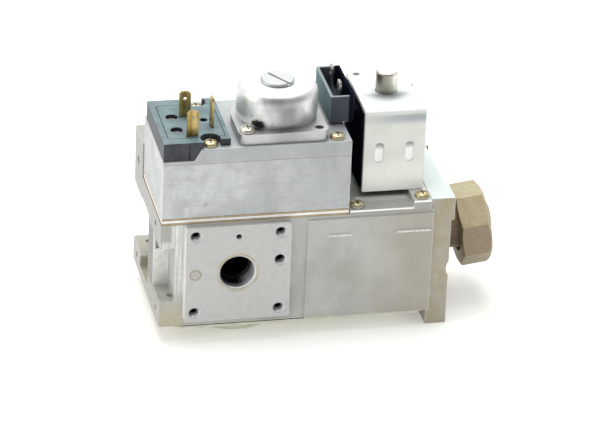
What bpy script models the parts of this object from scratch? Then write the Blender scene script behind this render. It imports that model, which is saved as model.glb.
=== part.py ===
"""A two-stage gas valve: die-cast body, servo regulator housing, safety solenoid and inlet union.

Metres, +Z up, +X along the body from the plain end to the inlet, +Y from the port face to the back.
Shapes are laid out with X zero on the housing's left face, Y zero on the body's front face and Z zero
on the body's deck, and the parent empty then puts the origin under the middle of the whole valve.
"""

import math

import bmesh
import bpy
from mathutils import Matrix, Vector

MM = 0.001

# Fits shared by all pieces
FIT = 0.15 * MM
RUN = 0.3 * MM
OVERLAP = 1.0 * MM
SIDES = 32
SMALL_SIDES = 16
CORNER_STEPS = 4
TINY_SIDES = 8
SHARP_ANGLE = math.radians(40.0)
FACE_ON = 0.999
WELD = 0.01 * MM
UPRIGHT = Matrix.Rotation(math.pi / 2, 4, "X")

# Body casting
BODY_DEPTH = 64.5 * MM
BODY_HEIGHT = 49.25 * MM
DECK_THICKNESS = 9.0 * MM
LEFT_STEP = 0.6 * MM
CORE_INSET = 10.0 * MM
COLUMN_DEPTH = 28.0 * MM
FOOT_RAIL_HEIGHT = 4.5 * MM
LUG_DEPTH = 16.5 * MM
LUG_HEIGHT = 11.0 * MM
LUG_HOLE_RADIUS = 1.9 * MM
LUG_HOLE_DEPTH = 7.0 * MM
LUG_HOLE_EDGE = 8.0 * MM
DECK_HOLE_EDGE = 12.0 * MM
POCKET_WIDTH = 6.7 * MM
POCKET_DEPTH = 16.0 * MM
POCKET_HEIGHT = 25.8 * MM
POCKET_HOLE_RADIUS = 1.6 * MM
POCKET_HOLE_DEPTH = 3.0 * MM
POCKET_HOLE_EDGE = 6.0 * MM
NOTCH_RADIUS = 2.2 * MM
NOTCH_HEIGHT = 8.0 * MM
POST_WIDTH = 16.0 * MM
POST_RISE = 16.4 * MM
POST_DROP = 10.4 * MM
POST_GAP = 0.4 * MM
TAP_RADIUS = 2.4 * MM
TAP_DEPTH = 10.0 * MM
TAP_HEIGHT = 3.3 * MM
PANEL_START = 63.8 * MM
PANEL_PROUD = 0.8 * MM
PANEL_DROP = 1.5 * MM
RIDGE_PROUD = 0.45 * MM
RIDGE_HEIGHT = 0.9 * MM
RIDGE_DROP = 8.9 * MM
RIDGE_SHORT = 10.2 * MM
RIDGE_LONG = 15.1 * MM
RIDGE_START = 9.2 * MM
RIDGE_END = 1.0 * MM

# Port pad on the front
PAD_LEFT = 10.1 * MM
PAD_SIDE = 46.0 * MM
PAD_TOP = -0.3 * MM
PAD_BOTTOM_MARGIN = 3.4 * MM
PAD_PROUD = 3.3 * MM
PAD_CORNER = 1.2 * MM
PAD_BOLT_INSET = 4.5 * MM
PAD_BOLT_RADIUS = 2.1 * MM
PAD_BOLT_DEPTH = 11.0 * MM
CHAMFER = 0.8 * MM
PORT_RADIUS = 7.5 * MM
PORT_LIP = 0.9 * MM
PORT_LIP_DEPTH = 9.0 * MM
SIDE_TAP_RISE = 5.1 * MM
PILOT_RADIUS = 1.25 * MM
PILOT_DROP = 5.4 * MM
PILOT_DEPTH = 8.0 * MM
PLUG_RADIUS = 2.1 * MM
PLUG_LENGTH = 5.0 * MM

# Inlet flange on the right end
FLANGE_THICKNESS = 8.2 * MM
FLANGE_SETBACK = 0.8 * MM
FLANGE_DROP = 7.7 * MM
FLANGE_RISE = 4.5 * MM
EAR_EXTRA = 1.4 * MM
EAR_HEIGHT = 10.5 * MM
EAR_DEPTH = 13.0 * MM
WAIST_RADIUS = 6.0 * MM
WAIST_DEPTH = 1.2 * MM
WAIST_DROP = 5.5 * MM

# Valve chambers in the body
AXIS_FORWARD = 0.75 * MM
OUTLET_CHAMBER_RADIUS = 11.5 * MM
OUTLET_SEAT_DEPTH = 31.0 * MM
OUTLET_SEAT_RADIUS = 7.0 * MM
DIAPHRAGM_RADIUS = 19.0 * MM
DIAPHRAGM_CHAMBER_HEIGHT = 11.25 * MM
PASSAGE_RADIUS = 3.8 * MM
PASSAGE_RISE = 5.75 * MM
SAFETY_CHAMBER_RADIUS = 12.5 * MM
SAFETY_SEAT_DEPTH = 33.5 * MM
SAFETY_SEAT_RADIUS = 6.5 * MM
INLET_RADIUS = 8.0 * MM

# Gasket and channel plate stack on the deck
GASKET = 0.7 * MM
PLATE = 1.2 * MM

# Servo housing and its cover
HOUSING_LENGTH = 81.5 * MM
HOUSING_DEPTH = 46.0 * MM
HOUSING_HEIGHT = 25.3 * MM
COVER_HEIGHT = 6.65 * MM
LEDGE_LENGTH = 13.4 * MM
LEDGE_SLOPE = 3.0 * MM
LEDGE_THICKNESS = 1.5 * MM
SERVO_X = 12.5 * MM
SERVO_Y = 23.0 * MM
SERVO_POCKET_RADIUS = 9.8 * MM
SERVO_FLOOR = 6.0 * MM
SERVO_BORE = 3.4 * MM
SERVO_HEADROOM = 2.3 * MM
SERVO_SPRING_LENGTH = 8.3 * MM
SERVO_SPRING_TURNS = 5
CHANNEL_RADIUS = 2.5 * MM

# Screws
SCREW_SHANK = 1.75 * MM
SCREW_HEAD = 3.4 * MM
SCREW_HEAD_HEIGHT = 2.1 * MM
SCREW_HEAD_EDGE = 0.6 * MM
SCREW_TIP = 0.8 * MM
SCREW_RECESS = 1.2 * MM
SCREW_RECESS_ARM = 2.2 * MM
SCREW_RECESS_WIDTH = 0.8 * MM
SCREW_BITE = 9.0 * MM
HOLE_TIP = 1.0 * MM
HOUSING_SCREW_LEFT = 20.8 * MM
HOUSING_SCREW_RIGHT_INSET = 5.6 * MM
HOUSING_SCREW_FRONT = 4.2 * MM
HOUSING_SCREW_BACK_INSET = 6.6 * MM
HOUSING_SCREW_REAR_INSET = 5.0 * MM
SOCKET_SCREW_GAP = 0.95 * MM

# Regulator dome
DOME_GAP = 0.4 * MM
DOME_FRONT_INSET = 1.4 * MM
DOME_FLANGE_LIP = 2.0 * MM
DOME_UNDERCUT = 0.8 * MM
DOME_UNDERCUT_HEIGHT = 2.6 * MM
DOME_SHOULDER = 4.4 * MM
DOME_SHOULDER_WIDTH = 3.4 * MM
DOME_HEIGHT = 15.4 * MM
DOME_WALL = 1.8 * MM
DOME_FLANGE_HALF = 19.6 * MM
DOME_FLANGE_THICKNESS = 4.7 * MM
DOME_FLANGE_CORNER = 3.6 * MM
DOME_SCREW_INSET = 4.0 * MM
CAP_LIP = 1.0 * MM
CAP_HEAD = 1.3 * MM
CAP_THREAD_RADIUS = 6.4 * MM
CAP_THREAD_LENGTH = 3.0 * MM
CAP_SLOT_WIDTH = 1.4 * MM
CAP_SLOT_DEPTH = 0.9 * MM
CAP_SLOT_TURN = 58.0
NECK_WALL = 1.6 * MM
NECK_LENGTH = 9.0 * MM
ADJUSTER_LENGTH = 4.5 * MM
ADJUSTER_SOCKET = 2.2 * MM
ADJUSTER_SOCKET_DEPTH = 2.5 * MM
ADJUSTER_SOCKET_SIDES = 6
SPRING_SEAT_HEIGHT = 1.2 * MM
MEMBRANE = 0.6 * MM
MEMBRANE_LIP = 2.0 * MM
REGULATOR_PLATE_RADIUS = 9.5 * MM
REGULATOR_PLATE_HEIGHT = 1.2 * MM
REGULATOR_SPRING_RADIUS = 4.6 * MM
REGULATOR_SPRING_TURNS = 4

# Connector block and its blades
BLOCK_DOME_GAP = 3.55 * MM
BLOCK_BACK_INSET = 3.5 * MM
BLOCK_FRONT = 0.3 * MM
BLOCK_RISE = 3.3 * MM
BLOCK_SETBACK = 2.4 * MM
BLOCK_SCREW_CLEARANCE = 1.0 * MM
BLOCK_SLOT_WIDTH = 1.2 * MM
BLOCK_SLOT_DEPTH = 0.8 * MM
BLOCK_SLOT_X = 10.6 * MM
BLADE_WIDTH = 5.0 * MM
BLADE_THICKNESS = 1.0 * MM
BLADE_HEIGHT = 12.0 * MM
BLADE_BASE = 2.4 * MM
BLADE_TIP = 1.0 * MM
BLADE_HOLE = 0.8 * MM
BLADE_HOLE_DROP = 3.4 * MM
BLADE_PAIR_X = 13.5 * MM
BLADE_FRONT_Y = 7.0 * MM
BLADE_BACK_Y = 25.8 * MM
BLADE_SIDE_INSET = 5.95 * MM
BLADE_SIDE_Y = 16.0 * MM
SIDE_BLADE_HEIGHT = 13.4 * MM
BLOCK_BORE = 2.7 * MM
BLOCK_BORE_WALL = 0.25 * MM
BLOCK_BORE_FRONT_Y = 13.3 * MM
BLOCK_SMALL_BORE = 1.7 * MM
BLOCK_SMALL_BORE_INSET = 8.35 * MM
BLOCK_SMALL_BORE_Y = 21.6 * MM
CONTACT_RADIUS = 1.7 * MM
CONTACT_DROP = 1.8 * MM
CONTACT_DIMPLE = 0.9 * MM

# Solenoid and its bonnet
BONNET_GAP = 0.6 * MM
BONNET_LENGTH = 37.2 * MM
BONNET_THICKNESS = 1.5 * MM
LAND_GAP = 1.55 * MM
LAND_RISE = 4.35 * MM
SOLENOID_SETBACK = 20.9 * MM
BONNET_SCREW_LEFT = 3.9 * MM
BONNET_SCREW_RIGHT_INSET = 4.6 * MM
BONNET_SCREW_EDGE = 4.4 * MM
YOKE_WIDTH = 26.9 * MM
YOKE_SCREW_GAP = 3.95 * MM
YOKE_RISE = 7.65 * MM
YOKE_STEEL = 1.8 * MM
YOKE_BEND = 1.6 * MM
YOKE_HOLE = 1.6 * MM
YOKE_HOLE_X = 9.3 * MM
YOKE_HOLE_INSET = 2.9 * MM
YOKE_NOTCH = 1.4 * MM
YOKE_NOTCH_Y = 3.6 * MM
YOKE_SLOT_WIDTH = 3.8 * MM
YOKE_SLOT_HEIGHT = 9.6 * MM
YOKE_SLOT_DEPTH = 0.6 * MM
YOKE_SLOT_PITCH = 13.3 * MM
YOKE_SLOT_DROP = 19.8 * MM
COIL_MARGIN = 0.3 * MM
COIL_FOOT = 0.3 * MM
COIL_CORNER = 2.5 * MM
SOCKET_LENGTH = 31.0 * MM
SOCKET_WIDTH = 10.5 * MM
SOCKET_HEIGHT = 12.0 * MM
SOCKET_WALL = 1.2 * MM
SOCKET_FLOOR = 3.0 * MM
SOCKET_COVER_GAP = 1.35 * MM
SOCKET_STANDOFF = 3.7 * MM
SOCKET_CORNER = 0.8 * MM
NECK_DEPTH = 22.0 * MM
NECK_HEIGHT = 9.0 * MM
COIL_BLADE_HEIGHT = 13.0 * MM
COIL_BLADE_SPREAD = 16.0 * MM
TUBE_RADIUS = 4.65 * MM
TUBE_WALL = 0.6 * MM
TUBE_RISE = 9.4 * MM
TUBE_BORE_LENGTH = 26.0 * MM
TUBE_FOOT = 1.2 * MM
TUBE_FOOT_RADIUS = 5.8 * MM
TUBE_CHAMFER = 0.5 * MM
PLUNGER_TOP = 21.0 * MM
SAFETY_DISC_RADIUS = 9.4 * MM
SAFETY_DISC = 1.8 * MM
SEAL = 1.5 * MM
SAFETY_SPRING_RADIUS = 7.4 * MM
SAFETY_SPRING_TURNS = 7

# Main valve and the bottom cover
STEM_RADIUS = 2.0 * MM
MAIN_DISC_RADIUS = 9.6 * MM
MAIN_DISC = 1.6 * MM
STEM_PLATE_RADIUS = 15.0 * MM
STEM_PLATE = 1.4 * MM
STEM_HEAD = 1.2 * MM
MAIN_SPRING_RADIUS = 6.6 * MM
MAIN_SPRING_TURNS = 7
RUBBER_SHEET = 0.8 * MM
SHEET_STEEL = 1.2 * MM
DISH_RADIUS = 20.2 * MM
DISH_SHIFT = 2.7 * MM
DISH_EDGE = 1.7 * MM
DISH_SLOPE = 4.5 * MM
DISH_DEPTH = 5.4 * MM
BOTTOM_MARGIN = 1.2 * MM
BOTTOM_LEFT = 4.6 * MM
BOTTOM_SCREW_EDGE = 5.4 * MM
BOTTOM_BITE = 6.0 * MM

# Inlet union
TAIL_RADIUS = 10.5 * MM
TAIL_BORE = 7.4 * MM
TAIL_SPIGOT = 8.6 * MM
TAIL_SHOULDER_RADIUS = 13.6 * MM
TAIL_SHOULDER = 2.6 * MM
TAIL_COLLAR_RADIUS = 13.0 * MM
TAIL_COLLAR = 3.0 * MM
TAIL_NOSE_RADIUS = 9.6 * MM
TAIL_OVERHANG = 1.2 * MM
RING_SECTION = 1.0 * MM
RING_SIDES = 12
NUT_STANDOFF = 8.4 * MM
NUT_LENGTH = 13.5 * MM
NUT_WALL = 2.5 * MM
NUT_SIDES = 8
NUT_LAND = 3.2 * MM
NUT_LAND_CLEARANCE = 1.1 * MM
NUT_THREAD_CLEARANCE = 1.5 * MM
NUT_CHAMFER = 1.2 * MM
NUT_TILT = math.radians(7.5)
NUT_HOLE = 1.1 * MM
NUT_HOLE_INSET = 3.2 * MM
STRAINER_WALL = 0.7 * MM
STRAINER_REACH = 1.2 * MM
STRAINER_WINDOW = 2.4 * MM
STRAINER_WINDOWS = 3
STRAINER_RIM_SHARE = 0.2

# Springs
WIRE = 0.45 * MM
COIL_POINTS = 9
WIRE_RESOLUTION = 1
LEAST_SPRING_GAP = 0.4 * MM

# Levels and places that follow from the sizes above
BODY_LEFT = -LEFT_STEP
BONNET_LEFT = HOUSING_LENGTH + BONNET_GAP
BODY_RIGHT = BONNET_LEFT + BONNET_LENGTH
FLANGE_RIGHT = BODY_RIGHT + FLANGE_THICKNESS
INLET_Z = -BODY_HEIGHT / 2
AXIS_Y = BODY_DEPTH / 2 - AXIS_FORWARD
PAD_RIGHT = PAD_LEFT + PAD_SIDE
PAD_BOLT_PITCH = PAD_SIDE - 2 * PAD_BOLT_INSET
PAD_BASE = -BODY_HEIGHT + PAD_BOTTOM_MARGIN
MAIN_X = PAD_LEFT + PAD_SIDE / 2
PORT_Z = (PAD_BASE + PAD_TOP) / 2
SOLENOID_X = BONNET_LEFT + SOLENOID_SETBACK
PASSAGE_Z = -BODY_HEIGHT + PASSAGE_RISE
SHEET_LEVEL = FIT
PLATE_LEVEL = SHEET_LEVEL + GASKET + FIT
TOP_GASKET_LEVEL = PLATE_LEVEL + PLATE + FIT
HOUSING_LEVEL = TOP_GASKET_LEVEL + GASKET + FIT
COVER_LEVEL = HOUSING_LEVEL + HOUSING_HEIGHT + FIT
COVER_TOP = COVER_LEVEL + COVER_HEIGHT
LEDGE_TOP = COVER_LEVEL + LEDGE_THICKNESS
BONNET_TOP = FIT + BONNET_THICKNESS
LAND_TOP = FIT + LAND_RISE
YOKE_DEPTH = BODY_DEPTH - 2 * (BONNET_SCREW_EDGE + SCREW_HEAD + YOKE_SCREW_GAP)
YOKE_FRONT = AXIS_Y - YOKE_DEPTH / 2
YOKE_BOTTOM = LAND_TOP + FIT
YOKE_TOP = COVER_TOP + YOKE_RISE
COIL_LEFT = SOLENOID_X - YOKE_WIDTH / 2 - COIL_MARGIN
SOCKET_LEFT = COIL_LEFT - SOCKET_STANDOFF - SOCKET_WIDTH
TUBE_TOP = YOKE_TOP + TUBE_RISE
DIAPHRAGM_TOP = -BODY_HEIGHT - FIT
BOTTOM_PLATE_TOP = DIAPHRAGM_TOP - RUBBER_SHEET - FIT
DISH_BOTTOM = BOTTOM_PLATE_TOP - SHEET_STEEL - DISH_DEPTH
FLANGE_BOTTOM = -BODY_HEIGHT - FLANGE_DROP
FLANGE_FACE = FLANGE_RIGHT + EAR_EXTRA
TAIL_STOP = BODY_RIGHT + OVERLAP
DOME_X = HOUSING_LENGTH - HOUSING_SCREW_RIGHT_INSET - SCREW_HEAD - DOME_GAP - DOME_FLANGE_HALF
DOME_Y = DOME_FRONT_INSET + DOME_FLANGE_HALF
DOME_RADIUS = DOME_FLANGE_HALF - DOME_FLANGE_LIP
DOME_TOP_RADIUS = DOME_RADIUS - DOME_SHOULDER_WIDTH
CAP_RADIUS = CAP_THREAD_RADIUS + CAP_LIP
NUT_THREAD_RADIUS = TAIL_COLLAR_RADIUS + NUT_THREAD_CLEARANCE
NUT_ACROSS_FLATS = 2 * (NUT_THREAD_RADIUS + NUT_WALL)
NUT_LEFT = FLANGE_FACE + NUT_STANDOFF
NUT_MIDDLE = NUT_LEFT + NUT_LENGTH / 2
TAIL_END = NUT_LEFT + NUT_LENGTH + TAIL_OVERHANG
HOUSING_SCREWS = [
    (HOUSING_SCREW_LEFT, HOUSING_SCREW_FRONT),
    (HOUSING_SCREW_LEFT, HOUSING_DEPTH - HOUSING_SCREW_BACK_INSET),
    (HOUSING_LENGTH - HOUSING_SCREW_RIGHT_INSET, HOUSING_SCREW_FRONT),
    (SOCKET_LEFT - SCREW_HEAD - SOCKET_SCREW_GAP, HOUSING_DEPTH - HOUSING_SCREW_REAR_INSET),
]
BONNET_SCREWS = [
    (BONNET_LEFT + BONNET_SCREW_LEFT, BONNET_SCREW_EDGE, BONNET_TOP),
    (BONNET_LEFT + BONNET_SCREW_LEFT, BODY_DEPTH - BONNET_SCREW_EDGE, BONNET_TOP),
    (BODY_RIGHT - BONNET_SCREW_RIGHT_INSET, BONNET_SCREW_EDGE, LAND_TOP),
    (BODY_RIGHT - BONNET_SCREW_RIGHT_INSET, BODY_DEPTH - BONNET_SCREW_EDGE, LAND_TOP),
]
BOTTOM_SCREWS = [
    (x, y)
    for x in (BOTTOM_LEFT + BOTTOM_SCREW_EDGE, BODY_RIGHT - BOTTOM_MARGIN - BOTTOM_SCREW_EDGE)
    for y in (BOTTOM_MARGIN + BOTTOM_SCREW_EDGE, BODY_DEPTH - BOTTOM_MARGIN - BOTTOM_SCREW_EDGE)
]


def clear_scene():
    for old in list(bpy.data.objects):
        bpy.data.objects.remove(old, do_unlink=True)


clear_scene()
PARTS = bpy.data.collections.new("gas_valve")
CUTTERS = bpy.data.collections.new("gas_valve_cutters")
for group in (PARTS, CUTTERS):
    bpy.context.scene.collection.children.link(group)
FRAME = bpy.data.objects.new("valve_frame", None)
PARTS.objects.link(FRAME)


def finish(name, colour, roughness, metallic):
    material = bpy.data.materials.new(name)
    material.use_nodes = True
    shader = material.node_tree.nodes["Principled BSDF"]
    shader.inputs["Base Color"].default_value = (*colour, 1.0)
    shader.inputs["Roughness"].default_value = roughness
    shader.inputs["Metallic"].default_value = metallic
    return material


CAST = finish("cast_aluminium", (0.50, 0.49, 0.47), 0.5, 1.0)
HOUSING_CAST = finish("housing_aluminium", (0.55, 0.56, 0.57), 0.42, 1.0)
DOME_METAL = finish("dome_aluminium", (0.60, 0.60, 0.60), 0.35, 1.0)
ZINC = finish("bright_zinc", (0.72, 0.73, 0.74), 0.22, 1.0)
YELLOW_ZINC = finish("yellow_zinc", (0.62, 0.50, 0.26), 0.35, 1.0)
STEEL = finish("bright_steel", (0.62, 0.62, 0.62), 0.3, 1.0)
BRASS = finish("brass", (0.52, 0.40, 0.20), 0.42, 1.0)
BLADE_BRASS = finish("blade_brass", (0.55, 0.38, 0.16), 0.35, 1.0)
TIN = finish("tinned_blade", (0.70, 0.70, 0.68), 0.3, 1.0)
FIBRE = finish("fibre_gasket", (0.52, 0.24, 0.10), 0.8, 0.0)
RUBBER = finish("black_rubber", (0.03, 0.03, 0.03), 0.7, 0.0)
SLATE = finish("connector_plastic", (0.05, 0.06, 0.065), 0.45, 0.0)
BLACK = finish("coil_plastic", (0.02, 0.021, 0.023), 0.4, 0.0)
COPPER = finish("coil_winding", (0.55, 0.27, 0.13), 0.4, 1.0)


def add(name, mesh, material=None, place=(0.0, 0.0, 0.0)):
    """A part if it has a material, and otherwise a cutter."""
    obj = bpy.data.objects.new(name, mesh)
    obj.location = place
    obj.parent = FRAME
    if material is None:
        CUTTERS.objects.link(obj)
        obj.hide_render = True
        obj.display_type = "WIRE"
        return obj
    PARTS.objects.link(obj)
    if not mesh.materials:
        mesh.materials.append(material)
    return obj


def shade(mesh, axis=None):
    """Flat faces stay flat, and faces that run round the axis look smooth up to SHARP_ANGLE."""
    mesh.shade_flat()
    if axis is None:
        return
    for face in mesh.polygons:
        face.use_smooth = abs(face.normal.dot(axis)) < FACE_ON
    mesh.set_sharp_from_angle(angle=SHARP_ANGLE)


def to_mesh(name, work, axis=None):
    mesh = bpy.data.meshes.new(name)
    work.to_mesh(mesh)
    work.free()
    shade(mesh, axis)
    return mesh


def settled(obj):
    """The object's mesh with its modifiers carried out, in the object's own axes."""
    graph = bpy.context.evaluated_depsgraph_get()
    return bpy.data.meshes.new_from_object(obj.evaluated_get(graph))


def box(name, low, high, material=None, place=(0.0, 0.0, 0.0)):
    work = bmesh.new()
    size = [b - a for a, b in zip(low, high)]
    middle = [(a + b) / 2 for a, b in zip(low, high)]
    matrix = Matrix.Translation(middle) @ Matrix.Diagonal((*size, 1.0))
    bmesh.ops.create_cube(work, size=1.0, matrix=matrix)
    return add(name, to_mesh(name, work), material, place)


def rod(name, start, end, radius, end_radius=None, sides=SIDES, material=None, place=(0.0, 0.0, 0.0)):
    """A cylinder, or a cone frustum, between two points."""
    start, end = Vector(start), Vector(end)
    along = end - start
    turn = along.to_track_quat("Z", "Y").to_matrix().to_4x4()
    work = bmesh.new()
    bmesh.ops.create_cone(
        work,
        cap_ends=True,
        segments=sides,
        radius1=radius,
        radius2=radius if end_radius is None else end_radius,
        depth=along.length,
        matrix=Matrix.Translation((start + end) / 2) @ turn,
    )
    return add(name, to_mesh(name, work, along.normalized()), material, place)


def turned(name, profile, material=None, place=(0.0, 0.0, 0.0), steps=SIDES, ring=False):
    """A profile of (radius, height) points turned about Z; a ring's profile closes on itself."""
    count = len(profile)
    edges = [(i, i + 1) for i in range(count - 1)]
    if ring:
        edges.append((count - 1, 0))
    mesh = bpy.data.meshes.new(name)
    mesh.from_pydata([(radius, 0.0, height) for radius, height in profile], edges, [])
    obj = add(name, mesh, material, place)
    screw = obj.modifiers.new("turn", "SCREW")
    screw.steps = steps
    screw.render_steps = steps
    screw.use_merge_vertices = True
    screw.merge_threshold = WELD
    obj.data = settled(obj)
    obj.modifiers.clear()
    obj.data.name = name
    bpy.data.meshes.remove(mesh)
    shade(obj.data, Vector((0.0, 0.0, 1.0)))
    return obj


def puck(name, radius, bottom, top, material, place, hole=0.0):
    """A flat round piece, with a hole along its axis if one is given."""
    profile = [(hole, top), (radius, top), (radius, bottom), (hole, bottom)]
    return turned(name, profile, material, place, ring=hole > 0.0)


def rounded(low, high, radius):
    """The outline of a rectangle with round corners, counter-clockwise."""
    (x0, y0), (x1, y1) = low, high
    centres = [
        (x1 - radius, y0 + radius, -90),
        (x1 - radius, y1 - radius, 0),
        (x0 + radius, y1 - radius, 90),
        (x0 + radius, y0 + radius, 180),
    ]
    points = []
    for x, y, start in centres:
        points += arc((x, y), (radius, radius), start, start + 90, CORNER_STEPS)
    return points


def arc(centre, radii, start, end, steps):
    """Points along part of an ellipse, its angles in degrees from +X."""
    angles = [math.radians(start + (end - start) * step / steps) for step in range(steps + 1)]
    return [(centre[0] + radii[0] * math.cos(a), centre[1] + radii[1] * math.sin(a)) for a in angles]


def prism(name, outline, bottom, top, material=None, place=(0.0, 0.0, 0.0), turn=None):
    """A flat outline given a thickness, made a mesh so that it can be cut or joined."""
    curve = bpy.data.curves.new(name, "CURVE")
    curve.dimensions = "2D"
    curve.fill_mode = "BOTH"
    curve.extrude = (top - bottom) / 2
    spline = curve.splines.new("POLY")
    spline.points.add(len(outline) - 1)
    for point, (x, y) in zip(spline.points, outline):
        point.co = (x, y, 0.0, 1.0)
    spline.use_cyclic_u = True
    guide = bpy.data.objects.new(name + "_outline", curve)
    CUTTERS.objects.link(guide)
    mesh = settled(guide)
    bpy.data.objects.remove(guide, do_unlink=True)
    mesh.name = name
    work = bmesh.new()
    work.from_mesh(mesh)
    bmesh.ops.remove_doubles(work, verts=work.verts, dist=WELD)
    bmesh.ops.translate(work, verts=work.verts, vec=(0.0, 0.0, (top + bottom) / 2))
    if turn is not None:
        bmesh.ops.transform(work, matrix=turn, verts=work.verts)
    bmesh.ops.recalc_face_normals(work, faces=work.faces)
    work.to_mesh(mesh)
    work.free()
    shade(mesh)
    return add(name, mesh, material, place)


def boolean(target, operation, pieces):
    for piece in pieces:
        modifier = target.modifiers.new(piece.name, "BOOLEAN")
        modifier.operation = operation
        modifier.solver = "EXACT"
        modifier.object = piece


def cut(target, *cutters):
    boolean(target, "DIFFERENCE", cutters)


def join(target, *pieces):
    boolean(target, "UNION", pieces)


def spring(name, place, radius, bottom, top, turns):
    """A coil spring as one unbroken wire, and the least gap between its own turns."""
    centre_low = bottom + WIRE + FIT
    centre_high = top - WIRE - FIT
    count = turns * COIL_POINTS + 1
    curve = bpy.data.curves.new(name, "CURVE")
    curve.dimensions = "3D"
    curve.bevel_depth = WIRE
    curve.bevel_resolution = WIRE_RESOLUTION
    curve.use_fill_caps = True
    line = curve.splines.new("POLY")
    line.points.add(count - 1)
    points = []
    for step, point in enumerate(line.points):
        angle = 2 * math.pi * step / COIL_POINTS
        height = centre_low + (centre_high - centre_low) * step / (count - 1)
        spot = Vector((radius * math.cos(angle), radius * math.sin(angle), height))
        points.append(spot)
        point.co = (*spot, 1.0)
    gap = min(
        (a - b).length
        for i, a in enumerate(points)
        for b in points[i + COIL_POINTS - 1 :]
    ) - 2 * WIRE
    print(f"{name}: least gap between turns {gap / MM:.2f} mm, wanted over {LEAST_SPRING_GAP / MM:.1f}")
    obj = bpy.data.objects.new(name, curve)
    curve.materials.append(STEEL)
    obj.location = place
    obj.parent = FRAME
    PARTS.objects.link(obj)
    return obj


def screw_mesh(name, length):
    """A pan-head screw standing on Z zero, its shank below, with a cross recess in the head."""
    crown = (SCREW_HEAD, SCREW_HEAD_HEIGHT - SCREW_HEAD_EDGE)
    profile = [
        *arc((0.0, SCREW_HEAD_EDGE), crown, 90, 0, CORNER_STEPS),
        (SCREW_HEAD, 0.0),
        (SCREW_SHANK, 0.0),
        (SCREW_SHANK, -length + SCREW_TIP),
        (SCREW_SHANK - SCREW_TIP, -length),
        (0.0, -length),
    ]
    blank = turned(name + "_blank", profile, steps=SMALL_SIDES)
    floor = SCREW_HEAD_HEIGHT - SCREW_RECESS
    arms = []
    for tag, half_x, half_y in (
        ("long", SCREW_RECESS_ARM, SCREW_RECESS_WIDTH / 2),
        ("cross", SCREW_RECESS_WIDTH / 2, SCREW_RECESS_ARM),
    ):
        low = (-half_x, -half_y, floor)
        high = (half_x, half_y, SCREW_HEAD_HEIGHT + OVERLAP)
        arms.append(box(f"{name}_recess_{tag}", low, high))
    cut(blank, *arms)
    mesh = settled(blank)
    mesh.name = name
    for helper in (blank, *arms):
        bpy.data.objects.remove(helper, do_unlink=True)
    return mesh


def vertical(name, x, y, bottom, top, radius, sides=SIDES):
    return rod(name, (x, y, bottom), (x, y, top), radius, sides=sides)


def screw_hole(name, x, y, bottom, top):
    return vertical(name, x, y, bottom, top, SCREW_SHANK + FIT, SMALL_SIDES)


def along_x(obj):
    """Turns a piece made about Z so that its axis runs along +X."""
    obj.rotation_euler.y = math.pi / 2
    return obj


def make_main_body():
    body = box(
        "main_body",
        (CORE_INSET, 0.0, -BODY_HEIGHT),
        (BODY_RIGHT, BODY_DEPTH, -DECK_THICKNESS + OVERLAP),
        CAST,
    )
    inside = CORE_INSET + OVERLAP
    post_front = HOUSING_DEPTH + POST_GAP
    floor = -BODY_HEIGHT
    join(
        body,
        box("deck", (BODY_LEFT, 0.0, -DECK_THICKNESS), (BODY_RIGHT, BODY_DEPTH, 0.0)),
        box("column", (BODY_LEFT, 0.0, floor), (inside, COLUMN_DEPTH, -DECK_THICKNESS + OVERLAP)),
        box("foot_rail", (BODY_LEFT, 0.0, floor), (inside, BODY_DEPTH, floor + FOOT_RAIL_HEIGHT)),
        box("back_lug", (BODY_LEFT, BODY_DEPTH - LUG_DEPTH, floor), (inside, BODY_DEPTH, floor + LUG_HEIGHT)),
        box("rear_post", (BODY_LEFT, post_front, -POST_DROP), (POST_WIDTH, BODY_DEPTH, POST_RISE)),
        box("front_panel", (PANEL_START, -PANEL_PROUD, floor), (BODY_RIGHT, OVERLAP, -PANEL_DROP)),
        *front_ridges(),
        *flange_pieces(),
        prism(
            "port_pad",
            rounded((PAD_LEFT, PAD_BASE), (PAD_RIGHT, PAD_TOP), PAD_CORNER),
            -OVERLAP,
            PAD_PROUD,
            turn=UPRIGHT,
        ),
    )
    cut(body, *end_cuts(), *pad_cuts(), *chamber_cuts(), *fastener_cuts())


def front_ridges():
    front = -PANEL_PROUD - RIDGE_PROUD
    for name, start, length in (
        ("ridge_short", PANEL_START + RIDGE_START, RIDGE_SHORT),
        ("ridge_long", BODY_RIGHT - RIDGE_END - RIDGE_LONG, RIDGE_LONG),
    ):
        low = (start, front, -RIDGE_DROP - RIDGE_HEIGHT)
        yield box(name, low, (start + length, OVERLAP, -RIDGE_DROP))


def flange_pieces():
    start = BODY_RIGHT - OVERLAP
    yield box("flange", (start, FLANGE_SETBACK, FLANGE_BOTTOM), (FLANGE_RIGHT, BODY_DEPTH, FLANGE_RISE))
    for name, low_y, high_y in (
        ("front_ear", FLANGE_SETBACK, FLANGE_SETBACK + EAR_DEPTH),
        ("back_ear", BODY_DEPTH - EAR_DEPTH, BODY_DEPTH),
    ):
        low = (start, low_y, FLANGE_RISE - EAR_HEIGHT)
        yield box(name, low, (FLANGE_FACE, high_y, FLANGE_RISE))
    boss = ((start, AXIS_Y, INLET_Z), (FLANGE_FACE, AXIS_Y, INLET_Z))
    yield rod("inlet_boss", *boss, TAIL_SHOULDER_RADIUS + CHAMFER)


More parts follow.
